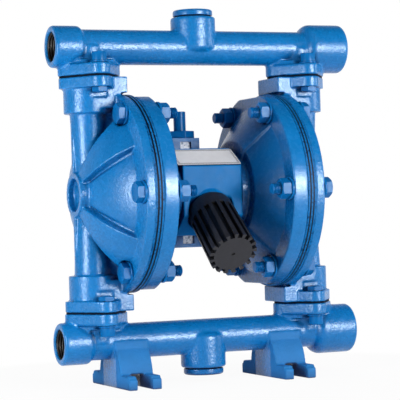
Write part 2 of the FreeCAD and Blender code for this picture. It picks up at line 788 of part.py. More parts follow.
# Air cover, in the same frame
def air_cover(label, side):
    body = new_body(label, turned=side_turn(side))
    clamp = "clamp_plane-overlay_thickness-diaphragm_thickness"
    rim_back = clamp + "-air_rim_thickness"
    turn(body, "shell", "XZ", [
        (clamp, "0"),
        (clamp, "air_rim_radius"),
        (rim_back, "air_rim_radius"),
        (rim_back, "air_cone_foot_radius"),
        ("air_cone_top_plane", "air_cone_top_radius"),
        ("air_cone_top_plane", "air_hub_radius"),
        ("block_half_width", "air_hub_radius"),
        ("block_half_width", "0")])
    for name, sign in (("upper", ""), ("lower", "-")):
        turn(body, name + "_bridge", "XZ", [
            (rim_back + "+1", sign + "air_hub_radius/2"),
            (rim_back + "+1", sign + "bridge_top_radius"),
            (rim_back, sign + "bridge_top_radius"),
            ("bridge_foot_plane", sign + "bridge_foot_radius"),
            ("bridge_foot_plane", sign + "air_hub_radius/2")], angle="bridge_angle")
    extrude(body, "flats", "YZ", [
        rectangle("-air_rim_radius", "air_flat_height", "air_rim_radius", "air_rim_radius+1"),
        rectangle("-air_rim_radius", "-air_rim_radius-1", "air_rim_radius", "-air_flat_height")],
        "air_rim_thickness+2", at=rim_back + "-1", cut=True)
    turn(body, "chamber", "XZ", [
        (clamp + "+1", "0"),
        (clamp + "+1", "chamber_radius"),
        (clamp + "-1", "chamber_radius"),
        (rim_back, "air_chamber_radius"),
        ("air_chamber_floor", "air_floor_radius-6"),
        ("air_chamber_floor", "0")], cut=True)
    hub = "air_chamber_floor-block_half_width+2"
    extrude(body, "hub_holes", "YZ", [
        circle("0", "0", "shaft_radius+running_gap*6"),
        circle("0", "pilot_offset", "pilot_radius+running_gap*6")]
        + bolt_circles("hub_screw_count", "hub_screw_circle", "hub_screw_radius", 45),
        hub, at="block_half_width-1", cut=True)
    for name, radius in (("spot_faces", "spot_face_radius"), ("bolt_holes", "bolt_hole_radius")):
        depth = "air_rim_thickness*2" if name == "spot_faces" else "air_rim_thickness+1"
        low = rim_back + "-air_rim_thickness*2" if name == "spot_faces" else rim_back + "-0.5"
        extrude(body, name, "YZ", bolt_circles("bolt_count", "bolt_circle", radius), depth, at=low, cut=True)
    return body


# Diaphragms and what moves with the shaft
def diaphragm(label, side, plane, thickness, radius):
    body = new_body(label, turned=side_turn(side))
    extrude(body, "disc", "YZ", [circle("0", "0", radius)], thickness, at=plane)
    extrude(body, "holes", "YZ", [circle("0", "0", "stud_radius+running_gap*4")]
            + bolt_circles("bolt_count", "bolt_circle", "bolt_hole_radius"),
            thickness + "+2", at=plane + "-1", cut=True)
    return body


def outer_plate(label, side):
    body = new_body(label, turned=side_turn(side))
    face = "clamp_plane"
    turn(body, "dish", "XZ", [
        (face, "0"),
        (face, "plate_radius"),
        (face + "+plate_lip", "plate_radius"),
        (face + "+outer_plate_thickness", "plate_boss_radius"),
        (face + "+outer_plate_thickness+plate_boss_height", "plate_boss_radius-2"),
        (face + "+outer_plate_thickness+plate_boss_height", "0")])
    extrude(body, "stud_hole", "YZ", [circle("0", "0", "stud_radius")],
            "outer_plate_thickness+stud_end_gap+1", at=face + "-1", cut=True)
    return body


def inner_plate(label, side):
    body = new_body(label, turned=side_turn(side))
    face = "clamp_plane-overlay_thickness-diaphragm_thickness"
    turn(body, "dish", "XZ", [
        (face, "0"),
        (face, "plate_radius"),
        (face + "-plate_lip", "plate_radius"),
        (face + "-inner_plate_thickness", "plate_radius-6"),
        (face + "-inner_plate_thickness", "0")])
    extrude(body, "stud_hole", "YZ", [circle("0", "0", "stud_radius")],
            "inner_plate_thickness+2", at=face + "-inner_plate_thickness-1", cut=True)
    return body


INNER_PLATE_BACK = "(clamp_plane-overlay_thickness-diaphragm_thickness-inner_plate_thickness)"


def shaft():
    body = new_body("diaphragm_shaft")
    stud_end = "clamp_plane+outer_plate_thickness"
    turn(body, "profile", "XZ", [
        ("-(%s)" % stud_end, "0"),
        ("-(%s)" % stud_end, "stud_radius"),
        ("-%s" % INNER_PLATE_BACK, "stud_radius"),
        ("-%s" % INNER_PLATE_BACK, "shaft_radius"),
        (INNER_PLATE_BACK, "shaft_radius"),
        (INNER_PLATE_BACK, "stud_radius"),
        (stud_end, "stud_radius"),
        (stud_end, "0")])
    return body


def shaft_bush(label, side):
    body = new_body(label, turned=side_turn(side))
    extrude(body, "ring", "YZ", [circle("0", "0", "bush_radius")],
            "bush_length", at="block_half_width-bush_length")
    extrude(body, "bore", "YZ", [circle("0", "0", "shaft_radius+running_gap")],
            "bush_length+2", at="block_half_width-bush_length-1", cut=True)
    return body


def pilot_rod():
    body = new_body("pilot_rod")
    extrude(body, "rod", "YZ", [circle("0", "pilot_offset", "pilot_radius")],
            "pilot_half_length*2", at="-pilot_half_length")
    return body


# Ball valves, in a frame on their own axis
def ball(label, side, up):
    rise = "centre_height+%s" % DISCHARGE_BALL if up else "centre_height-%s" % SUCTION_BALL
    body = new_body(label, (side + "valve_offset", "0", rise))
    turn(body, "sphere", "XZ", [("0", "-ball_radius", "ball_radius"), ("ball_radius", "0", "ball_radius"),
                                ("0", "ball_radius")], axis="V_Axis")
    return body


def seat(label, side, up):
    top = "cage_floor_height+seat_thickness" if up else "-flange_joint_height+seat_thickness"
    body = new_body(label, (side + "valve_offset", "0", "centre_height+" + top))
    turn(body, "ring", "XZ", [
        ("seat_bore_radius", "-seat_thickness"),
        ("cage_radius-seat_fit_gap", "-seat_thickness"),
        ("cage_radius-seat_fit_gap", "0"),
        ("seat_bore_radius+seat_chamfer", "0"),
        ("seat_bore_radius", "-seat_chamfer")], axis="V_Axis")
    return body


def flange_gasket(label, side, up):
    base = "centre_height+flange_joint_height"
    if not up:
        base = "centre_height-flange_joint_height-flange_gasket_thickness"
    body = new_body(label, ("0", "0", base))
    middle = side + FLANGE_CENTRE
    extrude(body, "sheet", "XY", [flange_outline(middle, "gasket_setback")], "flange_gasket_thickness")
    hole = circle(side + "valve_offset", "0", "cage_radius" if up else "flow_radius")
    extrude(body, "holes", "XY", [hole] + ear_circles("cap_hole_radius", middle),
            "flange_gasket_thickness+2", at="-1", cut=True)
    return body


# Plugs in the middle bosses
def boss_plug(label, turned, height):
    body = new_body(label, ("0", "0", height), turned)
    under_head = "boss_outer_reach+plug_gasket_thickness"
    extrude(body, "head", "XY", [circle("0", "0", "plug_head_radius")], "plug_head_height", at=under_head)
    bevel_edges(body, "head_bevel", lambda edge: is_circle(edge, value("plug_head_radius"))
                and edge.CenterOfMass.z > value(under_head) + 1, "rim_chamfer")
    extrude(body, "thread", "XY", [circle("0", "0", "plug_thread_radius-running_gap")],
            "plug_thread_length", at=under_head + "-plug_thread_length")
    extrude(body, "key_socket", "XY", [hexagon("0", "0", "plug_socket_width")], "plug_socket_depth+1",
            at=under_head + "+plug_head_height-plug_socket_depth", cut=True)
    return body


def plug_gasket(label, turned, height):
    body = new_body(label, ("0", "0", height), turned)
    extrude(body, "ring", "XY", [circle("0", "0", "plug_gasket_radius")],
            "plug_gasket_thickness", at="boss_outer_reach")
    extrude(body, "hole", "XY", [circle("0", "0", "plug_thread_radius+running_gap*2")],
            "plug_gasket_thickness+2", at="boss_outer_reach-1", cut=True)
    return body


# The silencer's axis runs down to the front; its seat is where the boss ends
MUFFLER_HEIGHT = "(muffler_length*sin(muffler_tilt)-muffler_end_drop)"
MUFFLER_DEPTH = "(muffler_end_depth-muffler_length*cos(muffler_tilt))"
MUFFLER_SEAT = (MUFFLER_HEIGHT, MUFFLER_DEPTH, "muffler_tilt")


# Centre body between the air covers
def centre_body():
    body = new_body("centre_body")
    extrude(body, "block", "YZ", [[
        ("block_back", "-block_half_height"),
        ("block_back", "block_half_height"),
        ("-slope_top_depth+2", "block_half_height"),
        ("-slope_top_depth", "slope_top_height"),
        ("-block_front", "slope_bottom_height"),
        ("-block_front", "-block_front_bottom"),
        ("-block_bottom_depth", "-block_half_height")]], "block_half_width*2", both=True)
    extrude(body, "outlet_boss", "XZ", [circle("-muffler_shift", "0", "outlet_boss_radius")],
            "outlet_boss_length", at="-outlet_boss_length", tilt=MUFFLER_SEAT)
    extrude(body, "muffler_recess", "XZ",
            [circle("-muffler_shift", "0", "muffler_collar_radius+muffler_recess_gap")],
            "outlet_boss_length*2", tilt=MUFFLER_SEAT, cut=True)
    extrude(body, "exhaust", "XZ", [circle("-muffler_shift", "0", "muffler_stud_radius")],
            "muffler_stud_length+2", at="-muffler_stud_length-1", tilt=MUFFLER_SEAT, cut=True)
    extrude(body, "exhaust_passage", "XZ", [circle("-muffler_shift", "0", "exhaust_radius")],
            "outlet_boss_length*1.4", at="-outlet_boss_length*1.4", tilt=MUFFLER_SEAT, cut=True)
    extrude(body, "shaft_bore", "YZ", [
        circle("0", "0", "bush_radius"),
        circle("0", "pilot_offset", "pilot_radius+running_gap")],
        "block_half_width*2+2", both=True, cut=True)
    extrude(body, "screw_holes", "YZ",
            bolt_circles("hub_screw_count", "hub_screw_circle", "hub_screw_radius", 45),
            "block_half_width*2+2", both=True, cut=True)
    return body


def nameplate():
    body = new_body("nameplate", ("0", "-(slope_top_depth+block_front)/2",
                                  "centre_height+(slope_top_height+slope_bottom_height)/2"),
                    FreeCAD.Rotation(V(1, 0, 0), 30))
    bind(body, "Placement.Rotation.Angle",
         "atan((slope_top_height-slope_bottom_height)/(block_front-slope_top_depth))")
    extrude(body, "plate", "XY",
            [rounded_rectangle("-plate_shift", "plate_length/2", "plate_width/2", "plate_corner")],
            "plate_thickness")
    return body


# Silencer, in a frame on its seat with +Z along its axis
def muffler():
    body = new_body("muffler", ("-muffler_shift", "-" + MUFFLER_DEPTH, "centre_height+" + MUFFLER_HEIGHT),
                    FreeCAD.Rotation(V(1, 0, 0), 130))
    bind(body, "Placement.Rotation.Angle", "90+muffler_tilt")
    turn(body, "form", "XZ", [
        ("0", "-muffler_stud_length"),
        ("muffler_stud_radius", "-muffler_stud_length"),
        ("muffler_stud_radius", "0"),
        ("muffler_collar_radius-muffler_collar_round", "0", "muffler_collar_round"),
        ("muffler_collar_radius", "muffler_collar_round"),
        ("muffler_collar_radius+(muffler_end_radius-muffler_collar_radius)*"
         "muffler_collar_length/muffler_length", "muffler_collar_length"),
        ("muffler_end_radius", "muffler_length"),
        ("0", "muffler_length")], axis="V_Axis")
    slot = extrude(body, "slot", "XY", [rectangle(
        "muffler_end_radius-muffler_slot_depth", "-muffler_slot_width/2",
        "muffler_end_radius+1", "muffler_slot_width/2")],
        "muffler_length-muffler_collar_length+1", at="muffler_collar_length", cut=True)
    pattern = body.newObject("PartDesign::PolarPattern", "muffler_slots")
    pattern.Originals = [slot]
    axis = [item for item in body.Origin.OriginFeatures if item.Role == "Z_Axis"]
    pattern.Axis = (axis[0], [""])
    pattern.Angle = 360
    bind(pattern, "Occurrences", "muffler_fin_count")
    body.Tip = pattern
    doc.recompute()
    extrude(body, "dimple", "XY", [circle("0", "0", "muffler_dimple_radius")], "2",
            at="muffler_length-1", cut=True)
    return body


# Air valve on the back of the centre body
def air_valve_body():
    body = new_body("air_valve_body")
    left, right = "-valve_half_width", "valve_half_width"
    extrude(body, "block", "XY", [rectangle(left, "block_back", right, "valve_back")],
            "valve_half_height*2", at="-valve_half_height")
    end = "valve_half_height-block_half_height"
    window = "valve_plate_front+valve_window_depth"
    for name, low in (("upper", "block_half_height"), ("lower", "-valve_half_height")):
        extrude(body, name + "_end", "XY", [rectangle(left, window, right, "block_back+1")], end, at=low)
        extrude(body, name + "_columns", "XY", [
            rectangle(left, "valve_plate_front", left + "+valve_column_width", window + "+1"),
            rectangle(right + "-valve_column_width", "valve_plate_front", right, window + "+1")],
            end, at=low)
    extrude(body, "spool_bore", "XY", [circle("0", "valve_depth", "spool_radius+running_gap")],
            "valve_half_height*2+2", at="-valve_half_height-1", cut=True)
    extrude(body, "inlet_passage", "XY", [circle("0", "inlet_depth", "inlet_passage_radius")],
            "inlet_passage_depth+1", at="valve_half_height-inlet_passage_depth", cut=True)
    tap = "valve_screw_length-valve_plate_thickness+valve_screw_head_height+1"
    for name, low in (("upper", "valve_half_height+1-(%s)" % tap), ("lower", "-valve_half_height-1")):
        extrude(body, name + "_taps", "XY", valve_screw_circles("valve_screw_radius"), tap, at=low, cut=True)
    return body


def valve_screw_spots():
    return [(across, along) for across in ("-(valve_half_width-valve_screw_inset)",
                                           "(valve_half_width-valve_screw_inset)")
            for along in ("(valve_plate_front+valve_screw_inset)", "(valve_back-valve_screw_inset)")]


def valve_screw_circles(radius, flip=""):
    return [circle(across, flip + along, radius) for across, along in valve_screw_spots()]


def valve_cap(label, turned, with_port):
    body = new_body(label, turned=turned)
    flip = "-" if turned is SUCTION else ""
    front, back = flip + "valve_plate_front", flip + "valve_back"
    low, high = (back, front) if flip else (front, back)
    extrude(body, "plate", "XY", [rectangle("-valve_half_width", low, "valve_half_width", high)],
            "valve_plate_thickness", at="valve_half_height")
    holes = valve_screw_circles("valve_screw_radius", flip)
    if with_port:
        holes.append(circle("0", "inlet_depth", "inlet_thread_radius"))
    extrude(body, "holes", "XY", holes, "valve_plate_thickness+2", at="valve_half_height-1", cut=True)
    extrude(body, "head_seats", "XY", valve_screw_circles("valve_screw_head_radius+running_gap*2", flip),
            "valve_screw_head_height+1",
            at="valve_half_height+valve_plate_thickness-valve_screw_head_height", cut=True)
    return body


def air_inlet_fitting():
    body = new_body("air_inlet_fitting", ("0", "inlet_depth", "centre_height+valve_half_height"))
    plate_top = "valve_plate_thickness"
    top = "inlet_top-valve_half_height"
    turn(body, "stem", "XZ", [
        ("inlet_bore_radius", "0"),
        ("inlet_thread_radius", "0"),
        ("inlet_thread_radius", plate_top),
        ("inlet_radius", plate_top),
        ("inlet_radius", top),
        ("inlet_thread_radius", top),
        ("inlet_thread_radius", top + "-inlet_thread_depth"),
        ("inlet_bore_radius", top + "-inlet_thread_depth")], axis="V_Axis")
    extrude(body, "hexagon", "XY", [hexagon("0", "0", "inlet_hexagon_flats"),
                                    circle("0", "0", "(inlet_radius+inlet_bore_radius)/2")],
            "inlet_hexagon_height", at=plate_top)
    return body


def valve_spool():
    body = new_body("valve_spool", ("0", "valve_depth", "centre_height"))
    waist = "spool_half_length-spool_land_length"
    turn(body, "form", "XZ", [
        ("0", "-spool_half_length"),
        ("spool_radius", "-spool_half_length"),
        ("spool_radius", "-(%s)" % waist),
        ("spool_waist_radius", "-(%s)" % waist),
        ("spool_waist_radius", "-spool_land_length/2"),
        ("spool_radius", "-spool_land_length/2"),
        ("spool_radius", "spool_land_length/2"),
        ("spool_waist_radius", "spool_land_length/2"),
        ("spool_waist_radius", waist),
        ("spool_radius", waist),
        ("spool_radius", "spool_half_length"),
        ("0", "spool_half_length")], axis="V_Axis")
    return body


# Fasteners: one pattern piece each, copied to every place
def cover_fasteners():
    rim_plane = "clamp_plane+cover_rim_thickness"
    back_plane = "clamp_plane-overlay_thickness-diaphragm_thickness-air_rim_thickness"
    head = pattern_body("cover_bolt_pattern")
    under = rim_plane + "+washer_thickness"
    extrude(head, "shank", "YZ", [circle("0", "0", "bolt_radius")], "bolt_length", at=under + "-bolt_length")
    extrude(head, "head", "YZ", [hexagon("0", "0", "bolt_flats")], "bolt_head_height", at=under)
    washer = pattern_body("cover_washer_pattern")
    inner_washer = pattern_body("cover_inner_washer_pattern")
    for body, low in ((washer, rim_plane), (inner_washer, back_plane + "-washer_thickness")):
        extrude(body, "disc", "YZ", [circle("0", "0", "washer_radius")], "washer_thickness", at=low)
        extrude(body, "hole", "YZ", [circle("0", "0", "bolt_radius+running_gap")],
                "washer_thickness+2", at=low + "-1", cut=True)
    nut = pattern_body("cover_nut_pattern")
    nut_low = back_plane + "-washer_thickness-nut_height"
    extrude(nut, "hexagon", "YZ", [hexagon("0", "0", "bolt_flats")], "nut_height", at=nut_low)
    extrude(nut, "hole", "YZ", [circle("0", "0", "bolt_radius")], "nut_height+2", at=nut_low + "-1", cut=True)
    for name, side in (("left", -1), ("right", 1)):
        places = circle_places("bolt_count", "bolt_circle", side)
        copies("cover_bolts_" + name, head, places)
        copies("cover_nuts_" + name, nut, places)
        both = copies("cover_washers_" + name, washer, places)
        inner = [inner_washer.Shape.transformed(place.toMatrix(), True) for place in places]
        both.Shape = Part.makeCompound(both.Shape.Solids + inner)


def ear_places(turned):
    places = []
    for across in (-1, 1):
        for along in (-1, 1):
            base = V(across * value(FLANGE_CENTRE), along * value("ear_offset"), 0)
            middle = FreeCAD.Placement(V(0, 0, value("centre_height")), turned)
            places.append(middle.multiply(FreeCAD.Placement(base, UPRIGHT)))
    return places


def manifold_fasteners():
    flange_top = "flange_joint_height+flange_gasket_thickness+manifold_flange_thickness"
    under = flange_top + "+cap_washer_thickness"
    screw = pattern_body("manifold_bolt_pattern")
    extrude(screw, "shank", "XY", [circle("0", "0", "cap_bolt_radius")], "cap_bolt_length",
            at=under + "-cap_bolt_length")
    extrude(screw, "head", "XY", [circle("0", "0", "cap_head_radius")], "cap_head_height", at=under)
    extrude(screw, "socket", "XY", [hexagon("0", "0", "cap_socket_flats")], "cap_socket_depth+1",
            at=under + "+cap_head_height-cap_socket_depth", cut=True)
    washer = pattern_body("manifold_washer_pattern")
    extrude(washer, "disc", "XY", [circle("0", "0", "cap_washer_radius")],
            "cap_washer_thickness", at=flange_top)
    extrude(washer, "hole", "XY", [circle("0", "0", "cap_bolt_radius+running_gap")],
            "cap_washer_thickness+2", at=flange_top + "-1", cut=True)
    nut = pattern_body("manifold_nut_pattern")
    low = "flange_joint_height-cover_flange_thickness-cap_nut_height"
    extrude(nut, "hexagon", "XY", [flat_hexagon("cap_nut_flats")], "cap_nut_height", at=low)
    extrude(nut, "hole", "XY", [circle("0", "0", "cap_bolt_radius")], "cap_nut_height+2",
            at=low + "-1", cut=True)
    for name, turned in (("upper", DISCHARGE), ("lower", SUCTION)):
        places = ear_places(turned)
        copies("manifold_bolts_" + name, screw, places)
        copies("manifold_washers_" + name, washer, places)
        copies("manifold_nuts_" + name, nut, places)


def flat_hexagon(flats):
    # A hexagon with two flats across Y.
    corners = []
    for number in range(6):
        reach = "(%s)/2/cos(30)" % flats
        corners.append(("%s*cos(%d)" % (reach, 60 * number), "%s*sin(%d)" % (reach, 60 * number)))
    return corners


def hub_screws():
    screw = pattern_body("hub_screw_pattern")
    extrude(screw, "shank", "YZ", [circle("0", "0", "hub_screw_radius")], "hub_screw_length",
            at="air_chamber_floor-hub_screw_length")
    extrude(screw, "head", "YZ", [circle("0", "0", "hub_screw_head_radius")], "hub_screw_head_height",
            at="air_chamber_floor")
    for name, side in (("left", -1), ("right", 1)):
        copies("hub_screws_" + name, screw, circle_places("hub_screw_count", "hub_screw_circle", side, 45))


def valve_cap_screws():
    screw = pattern_body("valve_screw_pattern")
    under = "valve_half_height+valve_plate_thickness-valve_screw_head_height"
    extrude(screw, "shank", "XY", [circle("0", "0", "valve_screw_radius")], "valve_screw_length",
            at=under + "-valve_screw_length")
    extrude(screw, "head", "XY", [circle("0", "0", "valve_screw_head_radius")],
            "valve_screw_head_height", at=under)
    for name, turned, flip in (("upper", DISCHARGE, 1), ("lower", SUCTION, -1)):
        middle = FreeCAD.Placement(V(0, 0, value("centre_height")), turned)
        places = []
        for across, depth in valve_screw_spots():
            base = V(value(across), flip * value(depth), 0)
            places.append(middle.multiply(FreeCAD.Placement(base, UPRIGHT)))
        copies("valve_cap_screws_" + name, screw, places)


# The pump
def build_pump():
    discharge_axis = "centre_height+manifold_spacing/2"
    suction_axis = "centre_height-manifold_spacing/2"
    manifold("discharge_manifold", DISCHARGE, discharge_axis, with_feet=False)
    manifold("suction_manifold", SUCTION, suction_axis, with_feet=True)
    for name, turned, axis in (("discharge", DISCHARGE, discharge_axis), ("suction", SUCTION, suction_axis)):
        boss_plug(name + "_plug", turned, axis)
        plug_gasket(name + "_plug_gasket", turned, axis)
    clamp = "clamp_plane-overlay_thickness"
    for name, side in (("left", -1), ("right", 1)):
        fluid_cover(name + "_fluid_cover", side)
        air_cover(name + "_air_cover", side)
        diaphragm(name + "_overlay_diaphragm", side, clamp, "overlay_thickness", "overlay_radius")
        diaphragm(name + "_diaphragm", side, clamp + "-diaphragm_thickness", "diaphragm_thickness",
                  "diaphragm_radius")
        outer_plate(name + "_outer_plate", side)
        inner_plate(name + "_inner_plate", side)
        shaft_bush(name + "_shaft_bush", side)
    shaft()
    pilot_rod()
    for name, side in (("left", "-"), ("right", "")):
        for level, up in (("discharge", True), ("suction", False)):
            ball("%s_%s_ball" % (name, level), side, up)
            seat("%s_%s_seat" % (name, level), side, up)
            flange_gasket("%s_%s_gasket" % (name, level), side, up)
    centre_body()
    nameplate()
    muffler()
    air_valve_body()
    valve_cap("valve_top_cap", DISCHARGE, with_port=True)
    valve_cap("valve_bottom_cap", SUCTION, with_port=False)
    air_inlet_fitting()
    valve_spool()
    cover_fasteners()
    manifold_fasteners()
    hub_screws()
    valve_cap_screws()


def check_and_write():
    doc.recompute()
    for item in doc.Objects:
        if "Invalid" in item.State or "Error" in item.State:
            raise RuntimeError("%s did not build" % item.Label)
    for part in parts:
        if part.Shape.isNull() or not part.Shape.isValid():
            raise RuntimeError("%s is not a valid solid" % part.Label)
    os.makedirs("parts", exist_ok=True)
    for part in parts:
        part.Shape.exportStep("parts/%s.step" % part.Label)
        print("%-26s %d solids %10.0f mm3" % (part.Label, len(part.Shape.Solids), part.Shape.Volume))
    print("%d nodes" % len(parts))


build_pump()
check_and_write()
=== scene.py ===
import json
import math
import bpy
import bmesh
from mathutils import Matrix, Vector


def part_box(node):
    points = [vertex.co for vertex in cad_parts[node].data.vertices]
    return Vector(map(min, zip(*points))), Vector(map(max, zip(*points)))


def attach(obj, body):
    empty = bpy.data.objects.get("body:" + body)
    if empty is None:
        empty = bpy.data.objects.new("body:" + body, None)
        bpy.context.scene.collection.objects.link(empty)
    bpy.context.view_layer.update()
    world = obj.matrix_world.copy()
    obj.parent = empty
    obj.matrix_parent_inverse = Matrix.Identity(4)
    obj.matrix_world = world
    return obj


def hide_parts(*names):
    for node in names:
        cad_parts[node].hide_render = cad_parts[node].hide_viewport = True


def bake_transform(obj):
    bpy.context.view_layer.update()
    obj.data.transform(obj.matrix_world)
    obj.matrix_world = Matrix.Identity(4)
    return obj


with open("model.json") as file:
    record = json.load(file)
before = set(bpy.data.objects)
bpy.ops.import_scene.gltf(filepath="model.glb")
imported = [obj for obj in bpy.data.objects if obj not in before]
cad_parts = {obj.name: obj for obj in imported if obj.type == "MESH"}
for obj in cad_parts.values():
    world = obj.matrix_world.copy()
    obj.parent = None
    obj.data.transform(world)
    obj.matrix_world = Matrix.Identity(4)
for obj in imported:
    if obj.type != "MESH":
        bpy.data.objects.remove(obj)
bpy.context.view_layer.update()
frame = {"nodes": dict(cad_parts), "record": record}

MM = 0.001
BODY = "pump_frame"
CENTRE_HEIGHT = 170 * MM
WELD_DISTANCE = 0.000002
SLOTS = {part["node"]: part["material_slot"] for part in frame["record"]["subparts"]}

# Camera, fitted to the two manifolds and the cover rims
CAMERA_PLACE = Vector((-618.19, -1455.46, -22.19)) * MM + Vector((0, 0, CENTRE_HEIGHT))
CAMERA_YAW = 23.07
CAMERA_PITCH = 0.54
CAMERA_ROLL = -1.81
SENSOR_WIDTH = 36.0
FOCAL_PIXELS = 1751.77
PICTURE_WIDTH = 400
NEAREST_SHOWN = 0.01
FURTHEST_SHOWN = 20


def add_camera():
    """The camera that took the photo."""
    yaw, pitch, roll = (math.radians(angle) for angle in (CAMERA_YAW, CAMERA_PITCH, CAMERA_ROLL))
    ahead = math.cos(pitch)
    forward = Vector((math.sin(yaw) * ahead, math.cos(yaw) * ahead, math.sin(pitch)))
    level = Vector((math.cos(yaw), -math.sin(yaw), 0))
    above = level.cross(forward)
    right = math.cos(roll) * level + math.sin(roll) * above
    up = -math.sin(roll) * level + math.cos(roll) * above
    turn = Matrix((right, up, -forward)).transposed().to_4x4()
    lens = bpy.data.cameras.new("camera")
    lens.sensor_width = SENSOR_WIDTH
    lens.lens = FOCAL_PIXELS * SENSOR_WIDTH / PICTURE_WIDTH
    lens.clip_start = NEAREST_SHOWN
    lens.clip_end = FURTHEST_SHOWN
    camera = bpy.data.objects.new("camera", lens)
    camera.matrix_world = Matrix.Translation(CAMERA_PLACE) @ turn
    bpy.context.scene.collection.objects.link(camera)
    bpy.context.scene.camera = camera


# Node helpers, which work in the node tree of a material or of the world
def new_material(name):
    material = bpy.data.materials.new(name)
    material.use_nodes = True
    tree = material.node_tree
    return material, tree, tree.nodes["Principled BSDF"]


def object_coordinates(tree):
    return tree.nodes.new("ShaderNodeTexCoord").outputs["Object"]


def split_axes(tree, where):
    """The X, Y and Z of a place."""
    node = tree.nodes.new("ShaderNodeSeparateXYZ")
    tree.links.new(where, node.inputs[0])
    return node.outputs["X"], node.outputs["Y"], node.outputs["Z"]


def noise(tree, where, scale, detail=2.0, roughness=0.5):
    texture = tree.nodes.new("ShaderNodeTexNoise")
    texture.inputs["Scale"].default_value = scale
    texture.inputs["Detail"].default_value = detail
    texture.inputs["Roughness"].default_value = roughness
    tree.links.new(where, texture.inputs["Vector"])
    return texture.outputs["Fac"]


def ramp(tree, factor, stops):
    """The factor as a colour, from (position, colour) stops."""
    node = tree.nodes.new("ShaderNodeValToRGB")
    elements = node.color_ramp.elements
    elements[0].position, elements[0].color = stops[0][0], (*stops[0][1], 1)
    elements[1].position, elements[1].color = stops[-1][0], (*stops[-1][1], 1)
    for position, colour in stops[1:-1]:
        elements.new(position).color = (*colour, 1)
    tree.links.new(factor, node.inputs["Fac"])
    return node.outputs["Color"]


def grey_ramp(tree, factor, first, second):
    """The factor as a grey, from two (position, level) stops."""
    return ramp(tree, factor, [(position, (level,) * 3) for position, level in (first, second)])


def bump(tree, height, distance, normal=None):
    node = tree.nodes.new("ShaderNodeBump")
    node.inputs["Strength"].default_value = 1.0
    node.inputs["Distance"].default_value = distance
    tree.links.new(height, node.inputs["Height"])
    if normal:
        tree.links.new(normal, node.inputs["Normal"])
    return node.outputs["Normal"]


def calculate(tree, operation, *sources):
    """A math node fed by sockets and plain numbers."""
    node = tree.nodes.new("ShaderNodeMath")
    node.operation = operation
    for socket, source in zip(node.inputs, sources):
        if isinstance(source, (int, float)):
            socket.default_value = source
        else:
            tree.links.new(source, socket)
    return node.outputs["Value"]


def combine(tree, operation, first, *others):
    """One value from many, such as their product or the largest of them."""
    for other in others:
        first = calculate(tree, operation, first, other)
    return first


def near(tree, value, middle, reach):
    """1 where the value lies within that reach of the middle, and else 0."""
    away = calculate(tree, "ABSOLUTE", calculate(tree, "SUBTRACT", value, middle))
    return calculate(tree, "LESS_THAN", away, reach)


# A colour mix has its sockets by number, because their names repeat
MIX_FACTOR, MIX_FIRST, MIX_SECOND, MIX_RESULT = 0, 6, 7, 2


def mix_colours(tree, factor, first, second):
    node = tree.nodes.new("ShaderNodeMix")
    node.data_type = "RGBA"
    tree.links.new(factor, node.inputs[MIX_FACTOR])
    for socket, source in ((node.inputs[MIX_FIRST], first), (node.inputs[MIX_SECOND], second)):
        if isinstance(source, tuple):
            socket.default_value = (*source, 1)
        else:
            tree.links.new(source, socket)
    return node.outputs[MIX_RESULT]


def openness(tree, distance, shut, free):
    """Black where a place is as closed in as shut, and white where it is as open as free: the mask for
    painted shade.
    """
    node = tree.nodes.new("ShaderNodeAmbientOcclusion")
    node.samples = OPENNESS_SAMPLES
    node.inputs["Distance"].default_value = distance
    return grey_ramp(tree, node.outputs["AO"], (shut, 0), (free, 1))


# Paint. Each bump is a noise scale and a height
CAST_SKIN = (300, 0.2 * MM)
CAST_GRAIN = (620, 0.24 * MM)
CAST_ROUGHNESS = 0.6
ORANGE_PEEL = (1700, 0.03 * MM)
PAINT_TINT_SCALE = 45
PAINT_SHEEN_SCALE = 240
PAINT_SPECULAR = 0.42
PAINT_SPECULAR_TINT = (0.8, 0.92, 1, 1)
# How much of the dark paint the painted shade keeps, channel by channel
PAINTED_SHADE_SHARES = (0.3, 0.16, 0.28)
PAINTED_SHADE_SHUT = 0.25
OPENNESS_SAMPLES = 8
BLUE = ((0.0015, 0.162, 0.46), (0.002, 0.178, 0.5), (0.003, 0.193, 0.54))
DEEP_BLUE = ((0.0015, 0.13, 0.39), (0.002, 0.145, 0.43), (0.003, 0.16, 0.47))


def enamel(name, dark, plain, light, cast=1.0, gloss=0.28, specular=PAINT_SPECULAR,
           shade=20 * MM, bright=0.75):
    """Thick enamel with orange peel over a cast skin, and painted shade in corners and recesses.

    cast scales the height of the cast skin, and gloss is the paint's roughness. Surfaces nearer than
    shade darken it with painted shade, and a place as open as bright has its full colour.
    """
    material, tree, shader = new_material(name)
    where = object_coordinates(tree)
    tint = noise(tree, where, PAINT_TINT_SCALE, 4)
    paint = ramp(tree, tint, [(0.3, dark), (0.5, plain), (0.72, light)])
    # Painted shade: a darker copy of the paint, mixed in where nearby surfaces close a place in
    painted_shade = tuple(channel * share for channel, share in zip(dark, PAINTED_SHADE_SHARES))
    free = openness(tree, shade, PAINTED_SHADE_SHUT, bright)
    tree.links.new(mix_colours(tree, free, painted_shade, paint), shader.inputs["Base Color"])
    sheen = noise(tree, where, PAINT_SHEEN_SCALE, 3)
    tree.links.new(grey_ramp(tree, sheen, (0.35, gloss - 0.04), (0.7, gloss + 0.06)),
                   shader.inputs["Roughness"])
    normal = None
    for scale, height in (CAST_SKIN, CAST_GRAIN):
        relief = noise(tree, where, scale, 2, CAST_ROUGHNESS)
        normal = bump(tree, relief, height * cast, normal)
    scale, height = ORANGE_PEEL
    peel = bump(tree, noise(tree, where, scale, 1), height, normal)
    tree.links.new(peel, shader.inputs["Normal"])
    shader.inputs["Specular IOR Level"].default_value = specular
    shader.inputs["Specular Tint"].default_value = PAINT_SPECULAR_TINT
    return material


